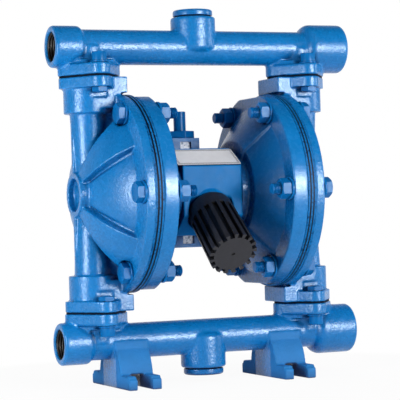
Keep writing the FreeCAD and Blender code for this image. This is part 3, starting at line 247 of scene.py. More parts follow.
# Bare plastic, metal, gaskets and ink
PLAIN_TINT_SCALE = 150
PLAIN_SHEEN_SCALE = 400
PLAIN_SHEEN_SPREAD = 0.08
PLAIN_GRAIN = (1400, 0.03 * MM)
PLAIN_SHADE = 5 * MM
PLAIN_SHUT, PLAIN_FREE = 0.35, 0.8


def plain_material(name, colour, rough, metal=0.0, contrast=0.2, gloss=0.5, painted_shade=None):
    """An even material, its tint and sheen varying a little, with optional painted shade in its
    recesses.
    """
    material, tree, shader = new_material(name)
    where = object_coordinates(tree)
    dark = tuple(channel * (1 - contrast) for channel in colour)
    light = tuple(min(channel * (1 + contrast), 1) for channel in colour)
    surface = ramp(tree, noise(tree, where, PLAIN_TINT_SCALE, 3), [(0.3, dark), (0.7, light)])
    # Painted shade: the given colour fills places that nearby surfaces close in
    if painted_shade:
        free = openness(tree, PLAIN_SHADE, PLAIN_SHUT, PLAIN_FREE)
        surface = mix_colours(tree, free, painted_shade, surface)
    tree.links.new(surface, shader.inputs["Base Color"])
    shader.inputs["Specular IOR Level"].default_value = gloss
    sheen = noise(tree, where, PLAIN_SHEEN_SCALE, 3)
    tree.links.new(grey_ramp(tree, sheen, (0.3, rough - PLAIN_SHEEN_SPREAD),
                             (0.7, rough + PLAIN_SHEEN_SPREAD)), shader.inputs["Roughness"])
    shader.inputs["Metallic"].default_value = metal
    scale, height = PLAIN_GRAIN
    tree.links.new(bump(tree, noise(tree, where, scale, 2), height), shader.inputs["Normal"])
    return material


MATERIALS = {
    "blue_casting": enamel("blue_casting", *BLUE),
    "painted_fasteners": enamel("painted_fasteners", *DEEP_BLUE, cast=0.15, gloss=0.3, specular=0.12),
    "painted_plug": enamel("painted_plug", *DEEP_BLUE, cast=0.3),
    # The muffler's slots and corners take near-black painted shade
    "muffler_plastic": plain_material("muffler_plastic", (0.0115, 0.012, 0.0185), 0.48, gloss=0.4,
                                      painted_shade=(0.001, 0.001, 0.001)),
    "nameplate_metal": plain_material("nameplate_metal", (0.88, 0.87, 0.87), 0.4, contrast=0.04),
    "fibre_gasket": plain_material("fibre_gasket", (0.0015, 0.006, 0.018), 0.7, gloss=0.05),
}
# The slots that are left have their class and colour from the record
METAL_CLASSES = ("aluminium", "brushed_steel", "brass")
OTHER_ROUGHNESS = 0.45
for entry in frame["record"]["materials"]:
    slot = entry["slot"]
    if slot not in MATERIALS:
        metal = 1.0 if entry["class"] in METAL_CLASSES else 0.0
        MATERIALS[slot] = plain_material(slot, tuple(entry["base_color"][:3]), OTHER_ROUGHNESS, metal)
BORE_IRON = plain_material("bore_iron", (0.007, 0.006, 0.006), 0.45, gloss=0.25)
BORDER_INK = plain_material("border_ink", (0.12, 0.12, 0.13), 0.5)

# Paints of single castings, fitted to how each looks in the photo
# Each paints shade as far out as its shade distance; the air covers' 100 mm reach darkens their inner
# faces between the covers
SMOOTH_ENAMEL = enamel("smooth_enamel", *BLUE, cast=0.3, gloss=0.26, shade=100 * MM, bright=0.98)
FOOT_ENAMEL = enamel("foot_enamel", *BLUE)
BODY_ENAMEL = enamel("body_enamel", *BLUE, cast=0.3, gloss=0.3, specular=0.03, shade=25 * MM)
VALVE_ENAMEL = enamel("valve_enamel", *DEEP_BLUE, cast=0.2, gloss=0.3, specular=0.08, shade=40 * MM)

FOOT_OFFSET = 74.6 * MM
FOOT_HALF_WIDTH = 15.5 * MM
FOOT_TOP = 46 * MM
SADDLE_FACE = 16.2 * MM
FOOT_ROUGHNESS = 0.75


def dull_feet(material):
    """The paint on the feet has less gloss than the rest of the casting."""
    tree = material.node_tree
    roughness = tree.nodes["Principled BSDF"].inputs["Roughness"]
    glossy = roughness.links[0].from_socket
    x, y, z = split_axes(tree, object_coordinates(tree))
    foot = near(tree, calculate(tree, "ABSOLUTE", x), FOOT_OFFSET, FOOT_HALF_WIDTH)
    low = calculate(tree, "LESS_THAN", z, FOOT_TOP)
    face = calculate(tree, "GREATER_THAN", calculate(tree, "ABSOLUTE", y), SADDLE_FACE)
    dull = combine(tree, "MULTIPLY", foot, low, face, FOOT_ROUGHNESS)
    tree.links.new(calculate(tree, "MAXIMUM", glossy, dull), roughness)


VALVE_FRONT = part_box("air_valve_body")[0].y
WINDOW_REACH = 5.4 * MM
WINDOW_DEPTH = 3 * MM
WINDOW_FLOOR = 0.2 * MM
# Painted light: pale, mottled with a few dark specks
PAINTED_LIGHT_PATCH = [(0.42, (0.95, 0.95, 0.97)), (0.58, (0.7, 0.73, 0.8)), (0.7, (0.05, 0.1, 0.2))]
MOTTLE_SCALE = 420


def paint_light_in_windows(material):
    """The floor of the hollow in each end of the air valve's front gets a mottled patch of painted
    light.
    """
    tree = material.node_tree
    colour = tree.nodes["Principled BSDF"].inputs["Base Color"]
    painted = colour.links[0].from_socket
    where = object_coordinates(tree)
    x, y, _ = split_axes(tree, where)
    window = near(tree, x, 0, WINDOW_REACH)
    floor = near(tree, y, VALVE_FRONT + WINDOW_DEPTH, WINDOW_FLOOR)
    # Painted light where light falls on the floor of each hollow
    painted_light = ramp(tree, noise(tree, where, MOTTLE_SCALE, 3), PAINTED_LIGHT_PATCH)
    shown = calculate(tree, "MULTIPLY", window, floor)
    tree.links.new(mix_colours(tree, shown, painted, painted_light), colour)


left_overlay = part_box("left_overlay_diaphragm")
RIM_PAINT_DEPTH = 1.5 * MM
RIM_PAINT_RADIUS = (left_overlay[1].y - left_overlay[0].y) / 2 - RIM_PAINT_DEPTH
RIM_CLAMP = -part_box("left_fluid_cover")[1].x
# The joints at the fluid cover, between the two sheets and at the air cover
RIM_SEAMS = tuple(RIM_CLAMP - depth for depth in (0, 2.9 * MM, 7.6 * MM))
RIM_LINE = 0.75 * MM
RIM_BLOTCHES = [(0.36, (0.001, 0.035, 0.14)), (0.47, BLUE[0]), (0.66, BLUE[2])]
RIM_BLOTCH_ROUGHNESS = 0.7
RIM_RELIEF = 0.3 * MM
RIM_ROUGHNESS = 0.5
RIM_SPECULAR = 0.1
JOINT_DARK = (0.0005, 0.004, 0.016)
BARE_RUBBER = (0.003, 0.0045, 0.009)


def painted_rim(name):
    """Black rubber, overpainted round its rim, with a dark line along each joint."""
    material, tree, shader = new_material(name)
    where = object_coordinates(tree)
    x, y, z = split_axes(tree, where)
    across = calculate(tree, "POWER", y, 2)
    height = calculate(tree, "POWER", calculate(tree, "SUBTRACT", z, CENTRE_HEIGHT), 2)
    radius = calculate(tree, "SQRT", calculate(tree, "ADD", across, height))
    rim = calculate(tree, "GREATER_THAN", radius, RIM_PAINT_RADIUS)
    plane = calculate(tree, "ABSOLUTE", x)
    line = combine(tree, "MAXIMUM", *(near(tree, plane, seam, RIM_LINE) for seam in RIM_SEAMS))
    blotch = noise(tree, where, MOTTLE_SCALE, 4, RIM_BLOTCH_ROUGHNESS)
    lined = mix_colours(tree, line, ramp(tree, blotch, RIM_BLOTCHES), JOINT_DARK)
    tree.links.new(mix_colours(tree, rim, BARE_RUBBER, lined), shader.inputs["Base Color"])
    shader.inputs["Roughness"].default_value = RIM_ROUGHNESS
    shader.inputs["Specular IOR Level"].default_value = RIM_SPECULAR
    tree.links.new(bump(tree, blotch, RIM_RELIEF), shader.inputs["Normal"])
    return material


dull_feet(FOOT_ENAMEL)
paint_light_in_windows(VALVE_ENAMEL)
PAINTED_RIM = painted_rim("painted_rim")

DIAPHRAGMS = ("left_overlay_diaphragm", "left_diaphragm",
              "right_overlay_diaphragm", "right_diaphragm")
SPECIAL_MATERIALS = {
    "left_air_cover": SMOOTH_ENAMEL, "right_air_cover": SMOOTH_ENAMEL,
    "air_valve_body": VALVE_ENAMEL, "valve_top_cap": VALVE_ENAMEL, "valve_bottom_cap": VALVE_ENAMEL,
    "centre_body": BODY_ENAMEL, "suction_manifold": FOOT_ENAMEL,
    **{name: PAINTED_RIM for name in DIAPHRAGMS},
}
for name, slot in SLOTS.items():
    materials = frame["nodes"][name].data.materials
    materials.clear()
    materials.append(SPECIAL_MATERIALS.get(name, MATERIALS[slot]))


# Softened CAD nodes. Each casting has the grain it is rebuilt in and how often it is smoothed
SOFTENED = {
    "discharge_manifold": (0.9 * MM, 6), "suction_manifold": (0.9 * MM, 6),
    "left_fluid_cover": (0.8 * MM, 3), "left_air_cover": (0.8 * MM, 6),
    "right_fluid_cover": (0.8 * MM, 3), "right_air_cover": (0.8 * MM, 6),
    "centre_body": (0.7 * MM, 3),
}
# The width and the segments of the bevel on each machined or moulded node
BEVELLED = {
    "air_valve_body": (0.5 * MM, 2), "valve_top_cap": (0.5 * MM, 2),
    "valve_bottom_cap": (0.5 * MM, 2), "air_inlet_fitting": (0.5 * MM, 2),
    "muffler": (0.45 * MM, 2), "nameplate": (0.2 * MM, 2),
    "discharge_plug": (0.9 * MM, 3), "suction_plug": (0.9 * MM, 3),
}
SMOOTHING = 0.5
FLAT_ANGLE = 1
SHARP_ANGLE = 35


def soften_casting(name, voxel, smooth):
    """Rebuilds a casting with soft edges."""
    node = frame["nodes"][name]
    remesh = node.modifiers.new("skin", "REMESH")
    remesh.mode = "VOXEL"
    remesh.voxel_size = voxel
    remesh.use_smooth_shade = True
    rounding = node.modifiers.new("rounding", "SMOOTH")
    rounding.factor = SMOOTHING
    rounding.iterations = smooth


def bevel_node(name, width, segments):
    """Joins the triangles of a node's flat faces and bevels its sharp edges."""
    node = frame["nodes"][name]
    weld = node.modifiers.new("weld", "WELD")
    weld.merge_threshold = WELD_DISTANCE
    flat = node.modifiers.new("flat", "DECIMATE")
    flat.decimate_type = "DISSOLVE"
    flat.angle_limit = math.radians(FLAT_ANGLE)
    bevel = node.modifiers.new("bevel", "BEVEL")
    bevel.width = width
    bevel.segments = segments
    bevel.limit_method = "ANGLE"
    bevel.angle_limit = math.radians(SHARP_ANGLE)
    node.data.shade_smooth()
    node.modifiers.new("normals", "WEIGHTED_NORMAL")


for name, (voxel, smooth) in SOFTENED.items():
    soften_casting(name, voxel, smooth)
for name, (width, segments) in BEVELLED.items():
    bevel_node(name, width, segments)


# Mesh building
def solids(node):
    """Each separate solid of a CAD node, as a list of its corners, in the order of their places."""
    shell = bmesh.new()
    shell.from_mesh(frame["nodes"][node].data)
    bmesh.ops.remove_doubles(shell, verts=shell.verts, dist=WELD_DISTANCE)
    seen = set()
    found = []
    for start in shell.verts:
        if start in seen:
            continue
        seen.add(start)
        group, waiting = [], [start]
        while waiting:
            vertex = waiting.pop()
            group.append(vertex.co.copy())
            for edge in vertex.link_edges:
                other = edge.other_vert(vertex)
                if other not in seen:
                    seen.add(other)
                    waiting.append(other)
        found.append(group)
    shell.free()

    def place(group):
        return tuple(round(sum(corner[axis] for corner in group) / len(group), 4) for axis in range(3))
    return sorted(found, key=place)


def limits(points):
    low = Vector([min(point[axis] for point in points) for axis in range(3)])
    high = Vector([max(point[axis] for point in points) for axis in range(3)])
    return low, high


def add_mesh(name, shape, slot, material=None, sharp=SHARP_ANGLE, body=BODY):
    """A piece from a finished shape. It rides on the body, unless that is None."""
    mesh = bpy.data.meshes.new(name)
    bmesh.ops.recalc_face_normals(shape, faces=shape.faces)
    shape.to_mesh(mesh)
    shape.free()
    mesh.shade_smooth()
    mesh.set_sharp_from_angle(angle=math.radians(sharp))
    mesh.materials.append(material or MATERIALS[slot])
    piece = bpy.data.objects.new(name, mesh)
    bpy.context.scene.collection.objects.link(piece)
    if body:
        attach(piece, body)
    return piece


def skin(shape, rings, place, loop=False):
    """Joins rings of (x, y, z) points, equal in number, into one closed surface.

    In a loop the last ring joins the first. Else both ends are capped.
    """
    rows = [[shape.verts.new(place @ Vector(point)) for point in points] for points in rings]
    if loop:
        rows.append(rows[0])
    sides = len(rows[0])
    for first, second in zip(rows, rows[1:]):
        for number in range(sides):
            following = (number + 1) % sides
            shape.faces.new((first[number], first[following], second[following], second[number]))
    if not loop:
        shape.faces.new(tuple(reversed(rows[0])))
        shape.faces.new(tuple(rows[-1]))


SIDES = 48


def ring(radius, height):
    """Points round the Z axis; the radius may be a function of the angle, and so may the height."""
    points = []
    for number in range(SIDES):
        angle = 2 * math.pi * number / SIDES
        reach = radius(angle) if callable(radius) else radius
        level = height(angle) if callable(height) else height
        points.append((reach * math.cos(angle), reach * math.sin(angle), level))
    return points


def hexagon(flats):
    """The reach of a hexagon with a corner on the X axis, as a function of the angle."""
    def reach(angle):
        return flats / 2 / math.cos((angle % (math.pi / 3)) - math.pi / 6)
    return reach


CHAMFER_ANGLE = 27
CHAMFER_SLOPE = math.tan(math.radians(CHAMFER_ANGLE))
# The round face of a hexagon, as a share of the width across its flats
FACE_SHARE = 0.95


def chamfered_top(flats, height, face):
    """The level where a hexagon's sides meet its turned chamfer, as a function of the angle."""
    reach = hexagon(flats)

    def level(angle):
        return height - max(reach(angle) - face, 0) * CHAMFER_SLOPE
    return level


def chamfered_bottom(flats, height, face):
    """The same for the chamfer at the underside."""
    top = chamfered_top(flats, 0, face)
    return lambda angle: height - top(angle)


# The part of a pitch in which a thread fades in and out
THREAD_FADE = 0.6
BOLT_THREAD_STEPS = 6
PORT_THREAD_STEPS = 8


def thread_rings(radius, depth, pitch, low, high, inside=False, steps=BOLT_THREAD_STEPS):
    """Rings of a right-hand thread between two levels, with so many steps to a pitch."""
    rings = []
    count = max(2, int(round((high - low) / pitch * steps)))
    for number in range(count + 1):
        level = low + (high - low) * number / count
        fade = min(1, (level - low) / (THREAD_FADE * pitch), (high - level) / (THREAD_FADE * pitch))

        def reach(angle, level=level, fade=max(fade, 0)):
            turn = (level / pitch - angle / (2 * math.pi)) % 1
            ridge = 1 - abs(2 * turn - 1)
            cut = depth * fade * (1 - ridge)
            return radius - cut if not inside else radius - depth * fade * ridge
        rings.append(ring(reach, level))
    return rings


def corner_angle(points, place):
    """The direction of the corner that lies furthest from the axis, in the place's own frame."""
    inverse = place.inverted()

    def distance(point):
        return round(math.hypot(point.x, point.y), 5), point.z, point.x, point.y
    furthest = max((inverse @ point for point in points), key=distance)
    return math.atan2(furthest.y, furthest.x)


def axis_place(centre, axis):
    """A frame whose Z axis is the given one."""
    return Matrix.Translation(centre) @ axis.to_track_quat("Z", "Y").to_matrix().to_4x4()


def turned_place(points, centre, axis):
    """The same, turned until the X axis points at a corner."""
    place = axis_place(centre, axis)
    return place @ Matrix.Rotation(corner_angle(points, place), 4, "Z")


# Fasteners
HEAD_HEIGHT = 6.4 * MM
HEAD_EDGE = 0.4 * MM
EDGE_SHARE = 0.3
HEAD_MIDDLE = 0.3
BOLT_FLATS = 16 * MM
BOLT_RADIUS = 5 * MM
BOLT_PITCH = 1.5 * MM
BOLT_THREAD = 0.92 * MM
BOLT_END = 1 * MM
BOLT_NUT_BORE = BOLT_RADIUS - 0.4 * MM
TAIL = 14 * MM
NUT_LEAD = 0.9 * MM
WASHER_EDGE = 0.35 * MM


def cover_bolt(shape, points, axis):
    """A hexagon bolt whose head is at the end that the axis points to."""
    low, high = limits(points)
    centre = (low + high) / 2
    head, radius, flats = HEAD_HEIGHT, BOLT_RADIUS, BOLT_FLATS
    under = (high.x - head) if axis.x > 0 else (low.x + head)
    length = high.x - low.x - head
    place = turned_place(points, Vector((under, centre.y, centre.z)), axis)
    face = flats / 2 * FACE_SHARE
    reach = hexagon(flats)
    rings = [ring(face * HEAD_MIDDLE, head), ring(face - HEAD_EDGE, head),
             ring(face, head - HEAD_EDGE * EDGE_SHARE), ring(reach, chamfered_top(flats, head, face)),
             ring(reach, 0), ring(radius, 0), ring(radius, -length + TAIL + BOLT_END)]
    rings += reversed(thread_rings(radius, BOLT_THREAD, BOLT_PITCH, -length + BOLT_END, -length + TAIL))
    rings += [ring(radius - BOLT_END, -length)]
    skin(shape, rings, place)


def hexagon_nut(shape, points, axis, flats, bore):
    low, high = limits(points)
    height = abs((high - low).dot(axis))
    centre = (low + high) / 2 - axis * height / 2
    place = turned_place(points, centre, axis)
    face = flats / 2 * FACE_SHARE
    reach = hexagon(flats)
    lead = NUT_LEAD
    rings = [ring(bore, lead), ring(bore + lead, 0), ring(face, 0),
             ring(reach, chamfered_bottom(flats, 0, face)),
             ring(reach, chamfered_top(flats, height, face)), ring(face, height),
             ring(bore + lead, height), ring(bore, height - lead)]
    skin(shape, rings, place, loop=True)


def washer(shape, points, axis, bore):
    low, high = limits(points)
    height = abs((high - low).dot(axis))
    centre = (low + high) / 2 - axis * height / 2
    across = max(high - low) / 2
    edge = WASHER_EDGE
    rings = [ring(bore, 0), ring(across - edge, 0), ring(across, edge), ring(across, height - edge),
             ring(across - edge, height), ring(bore, height)]
    skin(shape, rings, axis_place(centre, axis), loop=True)


CAP_RADIUS = 4 * MM
CAP_HEAD_RADIUS = 6.5 * MM
CAP_HEAD_HEIGHT = 8 * MM
CAP_HEAD_EDGE = 0.9 * MM
CAP_UNDER_EDGE = 0.3 * MM
CAP_SOCKET = 6 * MM
CAP_SOCKET_DEPTH = 4 * MM
CAP_SOCKET_LEAD = 0.5 * MM
CAP_SOCKET_MOUTH = CAP_SOCKET * 0.6
CAP_DRILL_RADIUS = 0.5 * MM
CAP_DRILL_DEPTH = 0.8 * MM
CAP_NUT_FLATS = 13 * MM
CAP_NUT_BORE = CAP_RADIUS - 0.3 * MM
CAP_PITCH = 1.25 * MM
CAP_THREAD = 0.6 * MM
CAP_TAIL = 7 * MM
CAP_PLAIN_END = 8 * MM
CAP_END = 0.8 * MM


def cap_screw(shape, points, axis):
    """A socket-head screw whose head is at the end that the axis points to."""
    low, high = limits(points)
    centre = (low + high) / 2
    up = axis.z > 0
    under = (high.z - CAP_HEAD_HEIGHT) if up else (low.z + CAP_HEAD_HEIGHT)
    length = high.z - low.z - CAP_HEAD_HEIGHT
    place = axis_place(Vector((centre.x, centre.y, under)), axis)
    top, head, socket, edge = CAP_HEAD_HEIGHT, CAP_HEAD_RADIUS, hexagon(CAP_SOCKET), CAP_HEAD_EDGE
    floor = top - CAP_SOCKET_DEPTH
    rings = [ring(CAP_DRILL_RADIUS, floor - CAP_DRILL_DEPTH), ring(socket, floor),
             ring(socket, top - CAP_SOCKET_LEAD), ring(CAP_SOCKET_MOUTH, top), ring(head - edge, top),
             ring(head - edge * EDGE_SHARE, top - edge * EDGE_SHARE), ring(head, top - edge),
             ring(head, CAP_UNDER_EDGE), ring(head - CAP_UNDER_EDGE, 0),
             ring(CAP_RADIUS, 0), ring(CAP_RADIUS, -length + CAP_PLAIN_END)]
    rings += reversed(thread_rings(CAP_RADIUS, CAP_THREAD, CAP_PITCH,
                                   -length + CAP_END, -length + CAP_TAIL))
    rings += [ring(CAP_RADIUS - CAP_END, -length)]
    skin(shape, rings, place)


def add_fasteners(name, node, axis, build, *sizes):
    """One piece in place of a CAD node, with a fastener built on each of its solids."""
    shape = bmesh.new()
    for points in solids(node):
        build(shape, points, axis, *sizes)
    piece = add_mesh(name, shape, "painted_fasteners")
    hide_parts(node)


for side, outward in (("left", Vector((-1, 0, 0))), ("right", Vector((1, 0, 0)))):
    add_fasteners("threaded_cover_bolts_" + side, "cover_bolts_" + side, outward, cover_bolt)
    add_fasteners("chamfered_cover_nuts_" + side, "cover_nuts_" + side, outward,
                  hexagon_nut, BOLT_FLATS, BOLT_NUT_BORE)
    add_fasteners("rounded_cover_washers_" + side, "cover_washers_" + side, outward,
                  washer, BOLT_RADIUS)
for level, up in (("upper", Vector((0, 0, 1))), ("lower", Vector((0, 0, -1)))):
    add_fasteners("socket_screws_" + level, "manifold_bolts_" + level, up, cap_screw)
    add_fasteners("chamfered_nuts_" + level, "manifold_nuts_" + level, up,
                  hexagon_nut, CAP_NUT_FLATS, CAP_NUT_BORE)
    add_fasteners("rounded_washers_" + level, "manifold_washers_" + level, up, washer, CAP_RADIUS)


# Threads cut in the ports
PORT_PITCH = 2.3 * MM
PORT_WALL = 0.5 * MM
PORT_THREAD = 1.3 * MM
PORT_LEDGE = 1.5 * MM
PORT_FLOOR = 0.2 * MM
PORT_MOUTH = 1.4 * MM
THREAD_START = 2 * MM
THREAD_END = 1.6 * MM
FLOW_RADIUS = 11.3 * MM
PORT_SHARP_ANGLE = 60


def add_port_thread(mount):
    """A dark sleeve with an inside thread, laid in the bore of a pipe socket."""
    axis = Vector(mount["axis"])
    radius = mount["dims"]["r_mm"] * MM
    length = mount["dims"]["length_mm"] * MM
    start = Vector(mount["pos_m"]) - axis * length / 2
    place = axis_place(start, axis)
    shape = bmesh.new()
    flow = min(FLOW_RADIUS, radius - PORT_LEDGE)
    outer = radius + PORT_WALL
    rings = [ring(outer, length - PORT_MOUTH), ring(outer, 0), ring(flow, -PORT_WALL),
             ring(flow, PORT_FLOOR), ring(radius, PORT_FLOOR)]
    rings += thread_rings(radius, PORT_THREAD, PORT_PITCH, THREAD_START, length - THREAD_END,
                          inside=True, steps=PORT_THREAD_STEPS)
    skin(shape, rings, place, loop=True)
    add_mesh(mount["name"] + "_thread", shape, "blue_casting", BORE_IRON, PORT_SHARP_ANGLE)


for mount in frame["record"]["mounts"]:
    if mount["name"].endswith(("port_large", "port_small")):
        add_port_thread(mount)


# Diaphragms, each cut into sectors, and each sector cut across in rings from its plates out towards its
# clamp
SECTORS = 8
FLEX_FROM = 45.5 * MM
CLAMP_RADIUS = 64 * MM
FLEX_TO = CLAMP_RADIUS * math.cos(math.pi / SECTORS)
FLEX_STEPS = 8
CUT_DISTANCE = 0.000001


def cut_sheet(shape, place, normal, keep_both):
    """Cuts the sheet along a plane. Unless both sides are kept, what lies beyond it goes."""
    everything = shape.verts[:] + shape.edges[:] + shape.faces[:]
    bmesh.ops.bisect_plane(shape, geom=everything, dist=CUT_DISTANCE, plane_co=place, plane_no=normal,
                           clear_outer=not keep_both)
    if not keep_both:
        bmesh.ops.holes_fill(shape, edges=[edge for edge in shape.edges if edge.is_boundary])


def add_flexing_sheet(node):
    mesh = frame["nodes"][node].data
    across = sum(corner.co.x for corner in mesh.vertices) / len(mesh.vertices)
    middle = Vector((across, 0, CENTRE_HEIGHT))
    for number in range(SECTORS):
        turn = math.tau * number / SECTORS
        outward = Vector((0, math.cos(turn), math.sin(turn)))
        shape = bmesh.new()
        shape.from_mesh(mesh)
        bmesh.ops.remove_doubles(shape, verts=shape.verts, dist=WELD_DISTANCE)
        for sign in (1, -1):
            edge = turn + sign * (math.pi / SECTORS + math.pi / 2)
            cut_sheet(shape, middle, Vector((0, math.cos(edge), math.sin(edge))), False)
        for step in range(FLEX_STEPS + 1):
            reach = FLEX_FROM + (FLEX_TO - FLEX_FROM) * step / FLEX_STEPS
            cut_sheet(shape, middle + outward * reach, outward, True)
        name = "flexing_" + node + "_" + str(number + 1)
        piece = add_mesh(name, shape, SLOTS[node], PAINTED_RIM, body=None)
        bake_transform(piece)
        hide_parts(node)


for sheet in DIAPHRAGMS:
    add_flexing_sheet(sheet)


# Bare nameplate with its printed double border
def plate_frame():
    """The plate's own frame: middle of its outer face, long axis, short axis, normal and half sizes."""
    mesh = frame["nodes"]["nameplate"].data
    best = max(mesh.polygons, key=lambda face: (round(face.area, 9), face.normal.z))
    normal = best.normal.normalized()
    if normal.z < 0:
        normal = -normal
    long_axis = Vector((1, 0, 0))
    short_axis = normal.cross(long_axis).normalized()
    points = [vertex.co for vertex in mesh.vertices]
    spans = []
    for axis in (long_axis, short_axis, normal):
        reach = [point.dot(axis) for point in points]
        spans.append((min(reach), max(reach)))
    middle = long_axis * sum(spans[0]) / 2 + short_axis * sum(spans[1]) / 2 + normal * spans[2][1]
    half = ((spans[0][1] - spans[0][0]) / 2, (spans[1][1] - spans[1][0]) / 2)
    return middle, long_axis, short_axis, normal, half


PLATE_SKIN = 0.08 * MM
# The colour of the painted shadow along the plate's edge
PLATE_EDGE_SHADOW = (0.006, 0.012, 0.03)
# The inset and the width of each printed line
PLATE_BORDERS = {
    "plate_border_outer": (1.2 * MM, 0.5 * MM),
    "plate_border_inner": (2.4 * MM, 0.3 * MM),
}


def paint_plate_edge_shadow():
    """The plate's sides are painted dark, a painted shadow as a line round it."""
    middle, _, _, normal, _ = plate_frame()
    tree = MATERIALS["nameplate_metal"].node_tree
    colour = tree.nodes["Principled BSDF"].inputs["Base Color"]
    metal = colour.links[0].from_socket
    height = tree.nodes.new("ShaderNodeVectorMath")
    height.operation = "DOT_PRODUCT"
    tree.links.new(object_coordinates(tree), height.inputs[0])
    height.inputs[1].default_value = normal
    # Painted shadow on the plate's sides, below its outer face
    side = calculate(tree, "LESS_THAN", height.outputs["Value"], middle.dot(normal) - PLATE_SKIN)
    tree.links.new(mix_colours(tree, side, metal, PLATE_EDGE_SHADOW), colour)


def add_plate_border(name, inset, width):
    """A thin printed line round the plate, at an inset from its edge."""
    middle, along, across, normal, half = plate_frame()
    lift = PLATE_SKIN
    place = Matrix((along, across, normal)).transposed().to_4x4()
    place.translation = middle
    shape = bmesh.new()
    rings = []
    for edge, level in ((inset, -lift), (inset, lift), (inset + width, lift), (inset + width, -lift)):
        x, y = half[0] - edge, half[1] - edge
        rings.append([(x, y, level), (-x, y, level), (-x, -y, level), (x, -y, level)])
    skin(shape, rings, place, loop=True)
    add_mesh(name, shape, "nameplate_metal", BORDER_INK)


paint_plate_edge_shadow()
for name, (inset, width) in PLATE_BORDERS.items():
    add_plate_border(name, inset, width)


# Stage and light
FLOOR_SIZE = 12
FLOOR_COLOUR = (0.9, 0.9, 0.9, 1)
FLOOR_ROUGHNESS = 0.9
FLOOR_SPECULAR = 0.1
# How white the floor shows, at least. Further out it rises per metre to full white
FLOOR_WHITE = 0.94
FLOOR_START = FLOOR_WHITE - 0.45
FLOOR_RISE = 1.6


def add_stage():
    """A floor that takes the part's shadow and shows white, whiter further out."""
    bpy.ops.mesh.primitive_plane_add(size=FLOOR_SIZE, location=(0, 0, 0))
    floor = bpy.context.object
    floor.name = "floor"
    material, tree, shader = new_material("floor")
    shader.inputs["Base Color"].default_value = FLOOR_COLOUR
    shader.inputs["Roughness"].default_value = FLOOR_ROUGHNESS
    shader.inputs["Specular IOR Level"].default_value = FLOOR_SPECULAR
    glow = tree.nodes.new("ShaderNodeEmission")
    glow.inputs["Strength"].default_value = 1.0
    away = tree.nodes.new("ShaderNodeVectorMath")
    away.operation = "LENGTH"
    tree.links.new(object_coordinates(tree), away.inputs[0])
    white = calculate(tree, "MULTIPLY_ADD", away.outputs["Value"], FLOOR_RISE, FLOOR_START)
    white = calculate(tree, "MAXIMUM", white, FLOOR_WHITE)
    white = calculate(tree, "MINIMUM", white, 1.0)
    mix = tree.nodes.new("ShaderNodeMixShader")
    tree.links.new(calculate(tree, "MULTIPLY", seen_rays(tree), white), mix.inputs["Fac"])
    tree.links.new(shader.outputs[0], mix.inputs[1])
    tree.links.new(glow.outputs[0], mix.inputs[2])
    tree.links.new(mix.outputs[0], tree.nodes["Material Output"].inputs["Surface"])
    floor.data.materials.append(material)


def seen_rays(tree):
    """1 for rays that show the background, and 0 for the rest."""
    path = tree.nodes.new("ShaderNodeLightPath")
    return combine(tree, "MAXIMUM", path.outputs["Is Camera Ray"], path.outputs["Is Glossy Ray"],
                   path.outputs["Is Transmission Ray"])


# The world is white to the camera. In reflections it darkens high up and in front of the part, by a
# smooth step between two places and two strengths
WORLD_STRENGTH = 0.12
WALL = (0.2, 0.85, 1.0, 0.15)
BEHIND = (0.1, 0.95, 0.12, 1.0)


def smooth_range(tree, value, start, end, low, high):
    """A smooth step from low at the start to high at the end."""
    node = tree.nodes.new("ShaderNodeMapRange")
    node.interpolation_type = "SMOOTHSTEP"
    tree.links.new(value, node.inputs["Value"])
    for name, number in (("From Min", start), ("From Max", end), ("To Min", low), ("To Max", high)):
        node.inputs[name].default_value = number
    return node.outputs["Result"]


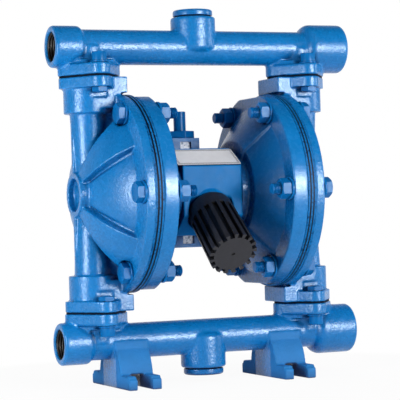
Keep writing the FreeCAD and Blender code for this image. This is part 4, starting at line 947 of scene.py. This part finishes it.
def add_world():
    world = bpy.data.worlds.new("studio")
    bpy.context.scene.world = world
    world.use_nodes = True
    tree = world.node_tree
    background = tree.nodes["Background"]
    background.inputs["Color"].default_value = (1, 1, 1, 1)
    _, y, z = split_axes(tree, tree.nodes.new("ShaderNodeTexCoord").outputs["Generated"])
    wall = smooth_range(tree, calculate(tree, "ABSOLUTE", z), *WALL)
    behind = smooth_range(tree, y, *BEHIND)
    path = tree.nodes.new("ShaderNodeLightPath")
    glossy = calculate(tree, "MULTIPLY", path.outputs["Is Glossy Ray"],
                       calculate(tree, "MULTIPLY", wall, behind))
    diffuse = calculate(tree, "MULTIPLY", path.outputs["Is Diffuse Ray"], WORLD_STRENGTH)
    strength = combine(tree, "MAXIMUM", path.outputs["Is Camera Ray"],
                       path.outputs["Is Transmission Ray"], glossy, diffuse)
    tree.links.new(strength, background.inputs["Strength"])


def add_light(name, azimuth, elevation, spot, distance, size, radiance):
    """A soft box at an azimuth from the front (-Y) towards +X, aimed at a spot level with the middle."""
    turn, rise = math.radians(azimuth), math.radians(elevation)
    level = math.cos(rise)
    aim = Vector((spot[0] * MM, spot[1] * MM, CENTRE_HEIGHT))
    away = Vector((math.sin(turn) * level, -math.cos(turn) * level, math.sin(rise)))
    lamp = bpy.data.lights.new(name, "AREA")
    lamp.shape = "RECTANGLE"
    lamp.size, lamp.size_y = size
    lamp.energy = radiance * size[0] * size[1] * math.pi
    light = bpy.data.objects.new(name, lamp)
    light.location = aim + away * distance
    light.rotation_euler = (-away).to_track_quat("-Z", "Y").to_euler()
    light.visible_camera = False
    bpy.context.scene.collection.objects.link(light)
    return light


MIDDLE = (0, 0)
LEFT_COVER = (-100, -20)
# Name, azimuth, elevation, spot in mm, distance, width and height, radiance
LAMPS = (
    ("front_right", 22, 6, MIDDLE, 1.6, (0.56, 0.5), 15),
    ("front_glow", 22, 5, MIDDLE, 1.6, (0.6, 0.42), 36),
    ("left_strip", -69, 3, LEFT_COVER, 0.6, (0.16, 0.26), 19),
    ("left_glow", -66, 3, LEFT_COVER, 0.6, (0.2, 0.28), 16),
    ("right_edge", 76, 6, MIDDLE, 1.5, (0.36, 0.5), 9),
    ("back", 165, 30, MIDDLE, 1.6, (1.2, 0.8), 3.2),
    ("top", -10, 60, MIDDLE, 1.6, (1.4, 1.2), 1.45),
)
ONLY_REFLECTED = ("front_glow", "left_glow")
NEVER_REFLECTED = ("back", "top")

add_stage()
add_world()
for lamp in LAMPS:
    light = add_light(*lamp)
    light.visible_diffuse = light.name not in ONLY_REFLECTED
    light.visible_glossy = light.name not in NEVER_REFLECTED
add_camera()

scene = bpy.context.scene
scene.view_settings.view_transform = "Standard"
